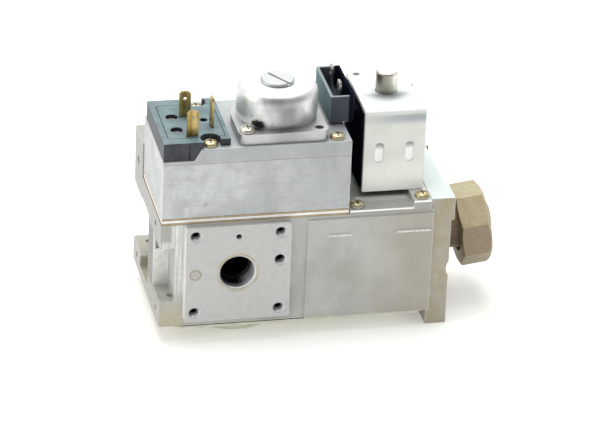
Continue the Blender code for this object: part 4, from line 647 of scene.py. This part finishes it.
# %% Yoke
BAND_TOP, BAND_FOOT = 98.6, 92.5
SLOT_FLOOR, SLOT_TOP = -19.0, 84.9
ZINC, ZINC_CLOUD, ZINC_LOW_LIGHT = rgb(0.76, 0.775, 0.73), rgb(0.70, 0.71, 0.665), rgb(0.97, 0.975, 0.92)
ZINC_TOP_SHADE, BAND, STREAK = rgb(0.68, 0.71, 0.70), rgb(0.34, 0.39, 0.42), rgb(0.60, 0.60, 0.57)
TUBE_MIRRORED, ZINC_EDGE_HIGHLIGHT = rgb(0.13, 0.16, 0.165), rgb(0.96, 0.965, 0.94)
SLOT_PALE, SLOT_SHADE = rgb(0.99, 0.99, 0.97), rgb(0.36, 0.38, 0.38)


def yoke_zinc():
    """Zinc with painted light low on the front and painted shade on top, with the band, streaks, painted
    tube reflection and slots.
    """
    s = Surface("yoke_zinc", corner=0.5)
    streak, cloud = s.noise(0.5, 3.0, (1.0, 1.0, 0.06)), s.noise(9.0, 3.0)
    front = s.up.ramp(0.5, 0.2)
    band = (s.z + 0.8 * (streak - 0.5)).ramp(BAND_FOOT, BAND_TOP - 2.6) * front
    band = band * s.x.ramp(2.0, 36.0) * s.z.ramp(BAND_TOP, BAND_TOP - 1.4)
    x, y = s.x - SOLENOID_CENTRE[0], s.y - SOLENOID_CENTRE[1]
    # Painted reflection: a dark patch on the top where the core tube would be mirrored.
    mirrored = s.distance(x, y).ramp(13.0, 5.0) * y.ramp(-1.0, -5.0) * (1.0 - front)
    # Painted shade under the top ends of the slots.
    slot = abs(s.y - SLOT_FLOOR).ramp(0.25, 0.15) * front
    colour = s.layers(
        s.mix(ZINC, ZINC_CLOUD, cloud.ramp(0.38, 0.66)),
        # Painted light low on the front, and painted shade on the top below.
        (ZINC_LOW_LIGHT, front * s.z.ramp(82.0, 66.0)),
        (ZINC_TOP_SHADE, 1.0 - front),
        (BAND, 0.85 * band),
        (STREAK, 0.22 * streak.ramp(0.56, 0.74) * front),
        (TUBE_MIRRORED, 0.85 * mirrored),
        # Edges lightened for wear and a painted highlight.
        (ZINC_EDGE_HIGHLIGHT, 0.9 * s.edge),
        (s.mix(SLOT_PALE, SLOT_SHADE, s.z.ramp(SLOT_TOP - 4.0, SLOT_TOP - 1.0)), slot),
    )
    return s.finish(colour, 0.42 + 0.16 * streak + 0.1 * cloud, 0.12, streak + 0.5 * cloud, 0.014)


print(yoke_zinc.__name__, "defined")

# %% [markdown]
# ## Brass
#
# The union nut is cast brass and sandy. Its facets are painted with light and shade by the way they
# look: olive on top, paler on the upper slope, a purplish brown lower down and greyer underneath. Ramps
# of the face's upward part choose between them, so this painted light looks alike at any turn of the
# nut. Terminal blades are rolled brass with darker tarnish, drawn out along the blade.

# %% Brass
SLOPE_LIGHT, SLOPE_CLOUD, UNDERSIDE_SHADE = rgb(0.62, 0.50, 0.31), rgb(0.40, 0.33, 0.20), rgb(0.38, 0.36, 0.24)
TOP_LIGHT_OLIVE, SAND = rgb(0.46, 0.45, 0.28), rgb(0.58, 0.52, 0.35)
SPOT, BRASS_EDGE_HIGHLIGHT = rgb(0.18, 0.14, 0.10), rgb(0.70, 0.61, 0.40)


def brass(name, light, dark, metallic=0.5):
    """Sandy brass: painted light where faces look up, painted shade where they look down, spots and pale
    edges.
    """
    s = Surface(name, corner=0.5)
    sand, cloud, spot = s.noise(0.8, 3.0), s.noise(5.0, 4.0), s.noise(1.2, 2.0)
    # Painted light and shade: faces that look up are lighter, faces that look down darker.
    downward = 0.35 * (cloud - 0.5) + s.up.ramp(0.45, -0.05)
    slope = s.up.window(0.3, 0.6, 0.8, 0.95)
    colour = s.layers(
        s.mix(light, dark, downward.most(0.0).least(1.0)),
        (SLOPE_LIGHT, 0.45 * slope),
        (SLOPE_CLOUD, 0.4 * slope * cloud.ramp(0.56, 0.42)),
        (UNDERSIDE_SHADE, 0.35 * s.up.ramp(-0.4, -0.65)),
        (SPOT, 0.30 * spot.ramp(0.58, 0.74)),
        (TOP_LIGHT_OLIVE, 0.7 * s.up.ramp(0.8, 0.95) * cloud.ramp(0.58, 0.42)),
        (SAND, 0.45 * sand.ramp(0.46, 0.68) * s.up.ramp(-0.6, 0.6)),
        # Edges lightened for wear and a painted highlight.
        (BRASS_EDGE_HIGHLIGHT, 0.55 * s.edge),
    )
    return s.finish(colour, 0.40 + 0.22 * sand, metallic, sand + 0.7 * cloud, 0.08)


def blade_metal(name, light, dark):
    """Rolled metal with upright streaks of tarnish and bright edges."""
    s = Surface(name, corner=0.2)
    streak, cloud = s.noise(1.4, 2.0, (1.0, 1.0, 0.05)), s.noise(4.0, 2.0)
    tarnished = 0.70 + 0.6 * (cloud - 0.5) + 2.2 * (streak - 0.5)
    colour = s.mix(light, dark, tarnished.most(0.0).least(1.0))
    # Edges lightened for wear and a painted highlight.
    colour = s.mix(colour, light, 0.9 * s.edge)
    return s.finish(colour, 0.22 + 0.2 * cloud, 1.0, streak, 0.01)


print(brass.__name__, "and", blade_metal.__name__, "defined")

# %% [markdown]
# ## Plastics, fibre and rubber
#
# The connector block is slate-coloured and matt, with a rounded rectangle scribed into its top. The
# line is the zero level of a rounded-box distance: how far a point lies outside the inner box, less
# the corner radius. The block's top is painted lighter, as light, and its sides darker, as shade. The
# coil is black, with a slight sheen on the side away from its plug socket, from a clear coat and a
# painted sheen; the socket has painted light on its left face and top rim.

# %% Scribed plastic
SCRIBE_LOW, SCRIBE_HIGH, SCRIBE_CORNER = (-73.2, -25.4), (-48.6, 6.6), 1.2
SLATE, SLATE_CLOUD = rgb(0.110, 0.165, 0.176), rgb(0.165, 0.236, 0.250)
SIDE_SHADE, SIDE_SHADE_CLOUD = rgb(0.016, 0.019, 0.028), rgb(0.036, 0.042, 0.056)
SLATE_EDGE_HIGHLIGHT, SCRIBED = rgb(0.20, 0.235, 0.24), rgb(0.012, 0.016, 0.018)


def box_distance(s, low, high, corner):
    """Distance from a rounded rectangle in the XY plane, negative inside."""
    middle = [(a + b) / 2 for a, b in zip(low, high)]
    half = [(b - a) / 2 - corner for a, b in zip(low, high)]
    across = abs(s.x - middle[0]) - half[0]
    along = abs(s.y - middle[1]) - half[1]
    outside = s.distance(across.most(0.0), along.most(0.0))
    return outside + across.most(along).least(0.0) - corner


def slate_plastic():
    """Slate on top as painted light, near black on the sides as painted shade, with the scribed line sunk
    into the top.
    """
    s = Surface("slate_plastic", corner=0.25)
    grain, cloud = s.noise(0.16, 2.0), s.noise(7.0, 3.0)
    outline = abs(box_distance(s, SCRIBE_LOW, SCRIBE_HIGH, SCRIBE_CORNER))
    line = outline.ramp(0.32, 0.12) * s.up.ramp(0.5, 0.9)
    colour = s.layers(
        # Painted light on the top and painted shade on the sides.
        s.mix(SLATE, SLATE_CLOUD, cloud.ramp(0.35, 0.65)),
        (s.mix(SIDE_SHADE, SIDE_SHADE_CLOUD, cloud.ramp(0.38, 0.62)), s.up.ramp(0.6, 0.3)),
        # Edges lightened for wear and a painted highlight.
        (SLATE_EDGE_HIGHLIGHT, 0.5 * s.edge),
        (SCRIBED, 0.9 * line),
    )
    return s.finish(colour, 0.36 + 0.18 * grain + 0.1 * cloud, 0.0, grain - 6.0 * line, 0.012)


print(slate_plastic.__name__, "defined")

# %% Plain plastic, fibre and rubber
COIL_BLACK, COIL_CLOUD = rgb(0.010, 0.011, 0.019), rgb(0.006, 0.007, 0.012)
SOCKET, SOCKET_LEFT_LIGHT = rgb(0.086, 0.096, 0.122), rgb(0.21, 0.29, 0.30)
SOCKET_RIM_LIGHT, SOCKET_EDGE_HIGHLIGHT = rgb(0.30, 0.35, 0.36), rgb(0.46, 0.49, 0.50)
COIL_SIDE_SHEEN = rgb(0.030, 0.032, 0.040)
SOCKET_RIGHT, SOCKET_TOP = 7.0, 104.6


def coil_plastic():
    """Black plastic, greyer on the plug socket, with painted light on its left and rim; one side has a
    thin coat that shines and a painted sheen.
    """
    s = Surface("coil_black", corner=0.3)
    grain, cloud = s.noise(0.25, 2.0), s.noise(6.0, 3.0)
    socket = s.x.ramp(SOCKET_RIGHT + 0.5, SOCKET_RIGHT - 0.5)
    rim = s.up.ramp(0.7, 0.9) * s.z.ramp(SOCKET_TOP, SOCKET_TOP + 0.6)
    sheen = s.aside.ramp(0.5, 0.9)
    colour = s.layers(
        s.mix(COIL_BLACK, COIL_CLOUD, cloud.ramp(0.3, 0.7)),
        (SOCKET, socket * (0.75 + 0.25 * cloud)),
        # Painted light on the socket's left face and its top rim.
        (SOCKET_LEFT_LIGHT, 0.9 * socket * (-s.aside).ramp(0.5, 0.9)),
        (SOCKET_RIM_LIGHT, 0.8 * socket * rim),
        # Edges lightened for wear and a painted highlight.
        (SOCKET_EDGE_HIGHLIGHT, 0.85 * socket * s.edge),
        # Painted sheen on the side that has the shiny coat.
        (COIL_SIDE_SHEEN, sheen * (1.0 - socket)),
    )
    s.start.fill(s.shader.inputs["Coat Weight"], 0.6 * sheen)
    s.shader.inputs["Coat Roughness"].default_value = 0.35
    s.shader.inputs["Specular IOR Level"].default_value = 0.0
    return s.finish(colour, 0.36 + 0.14 * grain, 0.0, grain, 0.012)


def fibre(name, light, dark):
    """Matt sheet with short fibres along X."""
    s = Surface(name, corner=0.1)
    threads, cloud = s.noise(0.3, 3.0, (0.2, 1.0, 1.0)), s.noise(6.0, 3.0)
    colour = s.mix(light, dark, (0.5 * threads + 0.6 * cloud.ramp(0.3, 0.7)).least(1.0))
    return s.finish(colour, 0.75 + 0.15 * threads, 0.0, threads, 0.03)


print(coil_plastic.__name__, "and", fibre.__name__, "defined")

# %% [markdown]
# ## Dressing the frame
#
# Each material is made once and given to the pieces that share that finish, so a change reaches all of
# them. Inner pieces that no view shows get a plain steel.

# %% Castings and sheet
DRESS = {}


def dress(material, *names):
    """Notes a material for the named pieces."""
    DRESS.update(dict.fromkeys(names, material))


SCREWS = [name for name in NODES if "_screw" in name and name != "dome_screw"]
PASSIVATED = (rgb(0.62, 0.67, 0.66), rgb(0.60, 0.59, 0.45), rgb(0.56, 0.66, 0.66))
PLATE_ZINC = (rgb(0.95, 0.95, 0.94), rgb(0.88, 0.87, 0.83), rgb(0.82, 0.81, 0.75))
COVER_ZINC = (rgb(0.69, 0.70, 0.59), rgb(0.62, 0.60, 0.46), rgb(0.62, 0.61, 0.54))
dress(cast_body(), "main_body")
dress(cast_housing(), "servo_housing", "housing_cover")
dress(yoke_zinc(), "solenoid_yoke")
dress(plated("passivated", PASSIVATED, 0.3, 0.6, ROLLED_BACK, bonnet_land), "solenoid_bonnet")
dress(plated("plate_zinc", PLATE_ZINC, 0.4, 0.2), "channel_plate")
dress(plated("cover_zinc", COVER_ZINC, 0.4, 0.4, ROLLED_ACROSS), "bottom_cover")
print(len(DRESS), "pieces dressed")

# %% Turned pieces and screws
DOME_BRIGHT, DOME_SHADE = rgb(0.90, 0.905, 0.90), rgb(0.42, 0.43, 0.435)
CAP_BRIGHT, CAP_SHADE = rgb(0.66, 0.68, 0.66), rgb(0.42, 0.44, 0.43)
TUBE_BRIGHT, TUBE_SHADE = rgb(0.94, 0.92, 0.85), rgb(0.56, 0.53, 0.44)
STEEL_GREY = rgb(0.46, 0.45, 0.42)
SCREW_ZINC = (rgb(0.66, 0.56, 0.32), rgb(0.40, 0.33, 0.18), rgb(0.62, 0.60, 0.46))
DOME_SCREW_STEEL = (rgb(0.70, 0.67, 0.56), STEEL_GREY, rgb(0.60, 0.57, 0.46))
PLUG_ZINC = (rgb(0.47, 0.465, 0.44), STEEL_GREY, rgb(0.46, 0.45, 0.41))
dome = (DOME_CENTRE, DOME_BRIGHT, DOME_SHADE, 0.33, 0.35, dome_wall, dome_reflection_patch)
dress(turned_metal("dome_metal", *dome), "dome_cover")
dress(turned_metal("cap_metal", DOME_CENTRE, CAP_BRIGHT, CAP_SHADE, 0.3), "dome_cap")
tube = (SOLENOID_CENTRE, TUBE_BRIGHT, TUBE_SHADE, 0.22, 0.2, tube_left_shade)
dress(turned_metal("tube_metal", *tube), "core_tube")
dress(plated("screw_zinc", SCREW_ZINC, 0.24, 1.0), *SCREWS)
dress(plated("dome_screw_steel", DOME_SCREW_STEEL, 0.26, 1.0), "dome_screw")
dress(plated("plug_zinc", PLUG_ZINC, 0.4, 0.4), "sealing_plug")
print(len(DRESS), "pieces dressed")

# %% Brass and terminals
NUT_BRASS = (rgb(0.43, 0.375, 0.24), rgb(0.27, 0.212, 0.148))
TAIL_BRASS = (rgb(0.30, 0.225, 0.165), rgb(0.15, 0.10, 0.08))
BLADE_BRASS = (rgb(0.74, 0.60, 0.28), rgb(0.25, 0.165, 0.045))
TINNED = (rgb(0.78, 0.78, 0.76), rgb(0.34, 0.34, 0.33))
dress(brass("nut_brass", *NUT_BRASS), "union_nut")
dress(brass("tail_brass", *TAIL_BRASS, 0.6), "inlet_tail", "inlet_strainer")
blades = [name for name in NODES if name.startswith("terminal_blade")]
dress(blade_metal("blade_brass", *BLADE_BRASS), *blades)
pins = [name for name in NODES if name.startswith(("coil_blade", "contact_pin"))]
dress(blade_metal("tinned", *TINNED), *pins)
print(len(DRESS), "pieces dressed")

# %% Plastics and inner pieces
GASKET_FIBRE = (rgb(0.60, 0.49, 0.33), rgb(0.40, 0.28, 0.14))
BLACK_RUBBER = (rgb(0.045, 0.045, 0.042), rgb(0.022, 0.022, 0.022))
COPPER = (rgb(0.50, 0.24, 0.10), rgb(0.36, 0.16, 0.07), rgb(0.55, 0.30, 0.14))
INNER_STEEL = (rgb(0.72, 0.71, 0.68), STEEL_GREY, rgb(0.6, 0.6, 0.6))
rubbers = ["main_diaphragm", "regulator_membrane", "inlet_ring", "safety_seal", "main_valve_seal"]
dress(slate_plastic(), "connector_block")
dress(coil_plastic(), "solenoid_coil", "pressure_adjuster")
dress(fibre("gasket_fibre", *GASKET_FIBRE), "lower_gasket", "upper_gasket")
dress(fibre("rubber", *BLACK_RUBBER), *rubbers)
dress(plated("winding", COPPER, 0.3), "servo_coil")
inner_steel = plated("inner_steel", INNER_STEEL, 0.3, 1.0)
for name, node in NODES.items():
    node.data.materials.clear()
    node.data.materials.append(DRESS.get(name, inner_steel))
print(len(DRESS), "named finishes,", len(NODES) - len(DRESS), "pieces in inner steel")

# %% [markdown]
# ## Smooth round pieces
#
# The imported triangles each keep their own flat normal, and their meshes may not be changed. So on the
# turned pieces a small geometry-nodes modifier welds the triangles and smooths every edge that bends
# less than a limit: a 32-sided turning reads as round and its real corners stay crisp.

# %% Smoothing modifier
ROUND = ["dome_cover", "dome_cap", "core_tube", "inlet_tail", "union_nut", "sealing_plug", "dome_screw"]
ROUND += ["contact_pin_front", "contact_pin_back", *SCREWS]
TRIANGLE_WELD, CRISP_FROM = 0.002, math.radians(35.0)


def smoothing_group(limit):
    """Weld, drop the stored normals, shade smooth, then keep edges sharper than the limit crisp."""
    group = bpy.data.node_groups.new("smooth_by_angle", "GeometryNodeTree")
    for way in ("INPUT", "OUTPUT"):
        group.interface.new_socket("Geometry", in_out=way, socket_type="NodeSocketGeometry")
    new = group.nodes.new
    weld, bare = new("GeometryNodeMergeByDistance"), new("GeometryNodeRemoveAttribute")
    faces, edges = new("GeometryNodeSetShadeSmooth"), new("GeometryNodeSetShadeSmooth")
    angle, gentle = new("GeometryNodeInputMeshEdgeAngle"), new("FunctionNodeCompare")
    weld.inputs["Distance"].default_value = TRIANGLE_WELD * MM
    bare.inputs["Name"].default_value = "custom_normal"
    edges.domain = "EDGE"
    gentle.operation = "LESS_THAN"
    gentle.inputs[1].default_value = limit
    group.links.new(angle.outputs[0], gentle.inputs[0])
    group.links.new(gentle.outputs[0], edges.inputs["Shade Smooth"])
    chain = [new("NodeGroupInput"), weld, bare, faces, edges, new("NodeGroupOutput")]
    for first, second in zip(chain, chain[1:]):
        group.links.new(first.outputs[0], second.inputs[0])
    return group


SMOOTH = smoothing_group(CRISP_FROM)
for name in ROUND:
    NODES[name].modifiers.new("smooth", "NODES").node_group = SMOOTH
print("smoothed", len(ROUND), "round pieces")

# %% [markdown]
# ## Threads and sleeves
#
# The solid model has plain bores where the object has threads. A thread's surface is a grid of turn
# angle against a V-shaped profile: a point at angle t and share a of the pitch lies at axial place
# pitch * (t / 2 pi + a), and its radius goes from root to crest and back. A Screw modifier could wind
# it, but a grid gives its points in one step. The nut's thread turns with the nut. The terminals' two
# sockets are lined with thin sleeves, turned from a profile.

# %% Grid surfaces
WELD = 0.001
PROFILE_SHARES = np.array([0.0, 0.42, 0.5, 0.58, 1.0])


def grid_piece(name, points, material, closed=False):
    """A smooth mesh from a grid of points (rows, columns, xyz in mm).

    Four neighbours make a face; closed also joins the last row to the first.
    """
    rows, columns, _ = points.shape
    index = np.arange(rows * columns).reshape(rows, columns)
    after = np.roll(index, -1, axis=0) if closed else index[1:]
    before = index if closed else index[:-1]
    corners = [before[:, :-1], before[:, 1:], after[:, 1:], after[:, :-1]]
    quads = np.stack([corner.ravel() for corner in corners], axis=1)
    mesh = bpy.data.meshes.new(name)
    mesh.from_pydata((points.reshape(-1, 3) * MM).tolist(), [], quads.tolist())
    shell = bmesh.new()
    shell.from_mesh(mesh)
    bmesh.ops.remove_doubles(shell, verts=shell.verts, dist=WELD * MM)
    bmesh.ops.recalc_face_normals(shell, faces=shell.faces)
    shell.to_mesh(mesh)
    shell.free()
    mesh.shade_smooth()
    mesh.materials.append(material)
    return added(name, mesh)


def thread_points(root, crest, pitch, turns, steps=24):
    """Grid of a thread about +X from x = 0: V profile of 5 points, steps points a turn."""
    t = np.linspace(0.0, 2 * np.pi * turns, int(turns * steps) + 1)[:, None]
    radius = np.array([root, crest, crest, crest, root])[None, :]
    along = pitch * (t / (2 * np.pi) + PROFILE_SHARES[None, :])
    return np.stack([along, radius * np.cos(t), radius * np.sin(t)], axis=-1)


print("grid surfaces ready")

# %% Nut thread
NUT_CREST, NUT_ROOT, NUT_PITCH, NUT_TURNS = 13.55, 14.4, 1.5, 4
NUT_STEPS, NUT_MOUTH = 72, 0.3


def nut_thread():
    """A thread about +X that ends just inside the nut's mouth, tilted and moved to where the nut hangs."""
    points = thread_points(NUT_ROOT, NUT_CREST, NUT_PITCH, NUT_TURNS, NUT_STEPS)
    points[..., 0] += NUT_LENGTH / 2 - NUT_PITCH * (NUT_TURNS + 1) - NUT_MOUTH
    tilt = np.array(Matrix.Rotation(-NUT_TILT, 3, "Y"))
    return points @ tilt.T + np.array(NUT_PIVOT)


thread = grid_piece("nut_thread", nut_thread(), DRESS["union_nut"])
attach(thread, "nut")
print("nut thread", len(thread.data.polygons), "faces")

# %% Pad threads
HOLE_ROOT, HOLE_CREST, HOLE_DEPTH, HOLE_PITCH = 2.05, 1.78, 7.0, 0.7
HOLE_LIP = 0.5
BOLT = 18.5
PAD_BOLTS = [(PORT_X + a * BOLT, PORT_Z + b * BOLT) for a in (-1, 1) for b in (-1, 1)]


def pad_thread(x, z):
    """A thread whose axis is swapped from X to Y, so that it runs into the pad at (x, z)."""
    points = thread_points(HOLE_ROOT, HOLE_CREST, HOLE_PITCH, HOLE_DEPTH / HOLE_PITCH)
    inward = points[..., [1, 0, 2]]
    return inward + np.array((x, PAD_FACE + HOLE_LIP, z))


for number, place in enumerate(PAD_BOLTS, 1):
    thread = grid_piece(f"pad_thread_{number}", pad_thread(*place), DRESS["main_body"])
    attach(thread, "valve_body")
print(len(PAD_BOLTS), "pad threads")

# %% Contact sleeves
SLEEVE_WALL = [(2.45, -4.0), (2.45, -2.0), (2.35, -1.8), (2.15, -1.8), (2.05, -2.0), (2.05, -4.0)]
SLEEVE = [*SLEEVE_WALL, SLEEVE_WALL[0]]


def revolved(profile, centre, sides=40):
    """A profile of (radius, height) turned about an upright axis through centre."""
    radius, height = np.array(profile).T
    t = np.linspace(0.0, 2 * np.pi, sides, endpoint=False)[:, None]
    flat = np.ones_like(t)
    points = np.stack([radius * np.cos(t), radius * np.sin(t), height * flat], axis=-1)
    return points + np.array(centre)


for tag in ("front", "back"):
    low, high = (np.array(corner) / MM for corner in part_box(f"contact_pin_{tag}"))
    centre = (*((low + high) / 2)[:2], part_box("connector_block")[1][2] / MM)
    points = revolved(SLEEVE, centre)
    sleeve = grid_piece(f"contact_sleeve_{tag}", points, DRESS["contact_pin_front"], True)
    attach(sleeve, "valve_body")
print("two contact sleeves")

# %% [markdown]
# ## Springs
#
# The four springs sit out of sight, and in the real valve they shorten when their valves move. Each is a
# wire wound on a helix in place of the plainer solid. The regulator's spring is pressed from both ends,
# so it is made in two lengths that meet at a level that stays still.

# %% Wire on a helix
WIRE = 0.45


def coil_points(radius, low, high, first, last, steps=32, sides=8):
    """Grid of a round wire whose middle climbs evenly from low to high between turns first and last.

    A cross-section is a circle along the outward direction and the one square to it and to the wire;
    one column of zero thickness closes each end.
    """
    t = 2 * np.pi * np.linspace(first, last, round((last - first) * steps) + 1)[:, None]
    climb = (high - low) / (2 * np.pi * (last - first))
    outward = np.hstack([np.cos(t), np.sin(t), 0 * t])
    ahead = np.hstack([-radius * np.sin(t), radius * np.cos(t), climb + 0 * t])
    across = np.cross(outward, ahead / np.linalg.norm(ahead, axis=1, keepdims=True))
    middle = radius * outward + np.hstack([0 * t, 0 * t, low + climb * (t - t[0])])
    column = np.r_[0, np.arange(len(t)), len(t) - 1]
    thick = WIRE * np.r_[0.0, np.ones(len(t)), 0.0][:, None]
    a = np.linspace(0.0, 2 * np.pi, sides, endpoint=False)[:, None, None]
    return middle[column] + thick * (np.cos(a) * outward[column] + np.sin(a) * across[column])


print(coil_points.__name__, "defined")

# %% Springs
SPRINGS = {
    "safety_spring": (7.4, 7, "safety_valve_lift", 3.5),
    "main_valve_spring": (6.6, 7, "main_valve_lift", 4.0),
    "servo_spring": (2.2, 5, "servo_lift", 1.5),
}
REGULATOR_RADIUS, REGULATOR_TURNS = 4.6, 4
REGULATOR_LIFT, SEAT_TRAVEL = 1.0, 3.0


def wound(name, node, radius, span, turns, joint, travel, fixed):
    """One spring in place of a node.

    span is its lowest and highest level, turns its first and last turn, fixed the level that stays.
    """
    low, high = (np.array(corner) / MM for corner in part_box(node))
    middle = [*((low + high) / 2)[:2], 0.0]
    points = coil_points(radius, *span, *turns) + np.array(middle)
    piece = grid_piece(name, points, inner_steel, True)
    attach(piece, "valve_body")
    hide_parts(node)
    reach = max(abs(fixed - level) for level in span) + WIRE
    anchor = (middle[0] * MM, middle[1] * MM, fixed * MM)
    1.0 - travel / reach
    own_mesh(piece)


def levels(node):
    """The lowest and highest level of the middle of a spring's wire."""
    low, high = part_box(node)
    return low[2] / MM + WIRE, high[2] / MM - WIRE


for node, (radius, turns, joint, travel) in SPRINGS.items():
    span = levels(node)
    wound(node + "_wire", node, radius, span, (0, turns), joint, travel, span[1] + WIRE)
low, high = levels("regulator_spring")
still = low + (high - low) / REGULATOR_TURNS
made = ("regulator_spring", REGULATOR_RADIUS)
upper = (1, REGULATOR_TURNS)
wound("regulator_spring_foot", *made, (low, still), (0, 1), "regulator_lift", REGULATOR_LIFT, still)
wound("regulator_spring_wire", *made, (still, high), upper, "seat_travel", SEAT_TRAVEL, still)
print(len(SPRINGS) + 1, "springs wound")

# %% [markdown]
# ## Rubber sheets
#
# Two rubber sheets are clamped all round, and a plate lifts the middle of each. A flat solid would stay
# behind, so each sheet is cut into eight slices about the plate's axis, and each slice is cut again
# along lines from its outer line to its inner line at the plate's edge. Where two slices meet, both
# reach equally far along their own directions.

# %% Slices
SLICES, BENDS = 8, 9


def parted(shell, point, heading, clear=False):
    """Cuts all faces at an upright plane square to heading.

    clear drops what lies beyond the plane and closes the cut.
    """
    every = [*shell.verts, *shell.edges, *shell.faces]
    across = (math.cos(heading), math.sin(heading), 0.0)
    bmesh.ops.bisect_plane(shell, geom=every, plane_co=point, plane_no=across, clear_outer=clear)
    if clear:
        bmesh.ops.holes_fill(shell, edges=[edge for edge in shell.edges if edge.is_boundary])


def sheet_slice(name, node, axis, heading, lines):
    """A wedge of a copy of a sheet, half a slice to each side of heading, cut at each line."""
    shell = bmesh.new()
    shell.from_mesh(NODES[node].data)
    bmesh.ops.remove_doubles(shell, verts=shell.verts, dist=WELD * MM)
    for side in (-1, 1):
        parted(shell, axis, heading + side * (math.pi / SLICES + math.pi / 2), True)
    for point in lines:
        parted(shell, point, heading)
    mesh = bpy.data.meshes.new(name)
    shell.to_mesh(mesh)
    shell.free()
    if "custom_normal" in mesh.attributes:
        mesh.attributes.remove(mesh.attributes["custom_normal"])
    mesh.materials.clear()
    mesh.materials.append(DRESS[node])
    return added(name, mesh)


print(sheet_slice.__name__, "defined")

# %% Sheets in slices
CHAMBER_RADIUS, CLAMPED_LIP = 19.0, 2.0
PLATE_CLEAR, CHAMBER_CLEAR = 0.05, 0.1


def lifted_sheet(node, plate, free):
    """All slices of a sheet: the inner line is at the plate's edge, the outer one in the free radius."""
    low, high = (Vector(corner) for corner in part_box(plate))
    axis = (low + high) / 2
    inner = (high.x - low.x) / 2 + PLATE_CLEAR * MM
    outer = free * math.cos(math.pi / SLICES) - CHAMBER_CLEAR * MM
    for number in range(SLICES):
        heading = 2 * math.pi * number / SLICES
        ahead = Vector((math.cos(heading), math.sin(heading), 0.0))
        lines = [axis + reach * ahead for reach in np.linspace(outer, inner, BENDS).tolist()]
        piece = sheet_slice(f"{node}_{number + 1}", node, axis, heading, lines)
        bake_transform(piece)
        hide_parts(node)
    bend = f"{outer / MM:.2f} to {inner / MM:.2f} mm"
    print(node, "in", SLICES, "slices, bending from", bend)


low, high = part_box("regulator_membrane")
free_radius = (high[0] - low[0]) / 2 - CLAMPED_LIP * MM
lifted_sheet("main_diaphragm", "main_valve_stem", CHAMBER_RADIUS * MM)
lifted_sheet("regulator_membrane", "regulator_plate", free_radius)

# %% [markdown]
# ## Light and floor
#
# A big soft lamp overhead and a weaker one at the left light the valve as in a white photo booth. The
# world is brightest overhead and to the right, which gives the castings their gradients. Metals mirror
# something else: white paper behind the valve and a dim room in front of it. Where the camera looks
# straight at it, the world is plain white. The floor glows a little, so shadows stay pale.

# %% Studio lamps
MIDDLE = (0.0, 0.0, 0.05)


def area_light(name, place, size, watts):
    """A square soft lamp at a place, turned to the middle of the valve."""
    light = bpy.data.lights.new(name, "AREA")
    light.size = size
    light.energy = watts
    lamp = added(name, light)
    lamp.location = place
    lamp.rotation_euler = (Vector(MIDDLE) - Vector(place)).to_track_quat("-Z", "Y").to_euler()
    print(name, "lamp of", watts, "W")


area_light("overhead", (-0.05, 0.25, 1.0), 0.8, 7.8)
area_light("left_fill", (-1.1, -0.1, 0.5), 0.6, 3.0)

# %% World
DIM, FROM_ABOVE, FROM_RIGHT = 0.33, 0.55, 0.40
ROOM, PAPER_GAIN = 0.30, 0.70


def studio_world():
    """A grey level by direction: one for plain light, one for mirrors, and white for the camera."""
    world = bpy.data.worlds.new("studio")
    scene.world = world
    world.use_nodes = True
    tree = world.node_tree
    start = Field(tree)
    direction = start.node("ShaderNodeTexCoord", "Generated", {})
    parts = start.node("ShaderNodeSeparateXYZ", 0, {"Vector": direction}).socket.node
    right, behind, height = (Field(tree, socket) for socket in parts.outputs)
    paths = start.node("ShaderNodeLightPath", 0, {}).socket.node.outputs
    kinds = ("Is Camera Ray", "Is Glossy Ray", "Is Transmission Ray")
    seen, glossy, through = (Field(tree, paths[kind]) for kind in kinds)
    light = DIM + FROM_ABOVE * height.ramp(0.0, 0.9) + FROM_RIGHT * right.ramp(0.2, 0.9)
    mirrored = ROOM + PAPER_GAIN * behind.ramp(-0.4, 0.5)
    level = seen.most(light + glossy.most(through) * (mirrored - light))
    grey = start.node("ShaderNodeCombineXYZ", 0, {0: level, 1: level, 2: level})
    start.fill(tree.nodes["Background"].inputs["Color"], grey)


studio_world()
scene.view_settings.view_transform = "Standard"
print("world set")

# %% Floor
FLOOR_HALF = 6.0
PAPER = {
    "Base Color": rgb(0.80, 0.80, 0.78),
    "Roughness": 0.8,
    "Emission Color": rgb(1.0, 1.0, 0.97),
    "Emission Strength": 0.27,
}
corners = [(x * FLOOR_HALF, y * FLOOR_HALF, 0.0) for x, y in ((-1, -1), (1, -1), (1, 1), (-1, 1))]
floor_mesh = bpy.data.meshes.new("floor")
floor_mesh.from_pydata(corners, [], [(0, 1, 2, 3)])
floor = added("floor", floor_mesh)
paper = bpy.data.materials.new("paper")
paper.use_nodes = True
for socket, value in PAPER.items():
    paper.node_tree.nodes["Principled BSDF"].inputs[socket].default_value = value
floor_mesh.materials.append(paper)
print("floor laid")
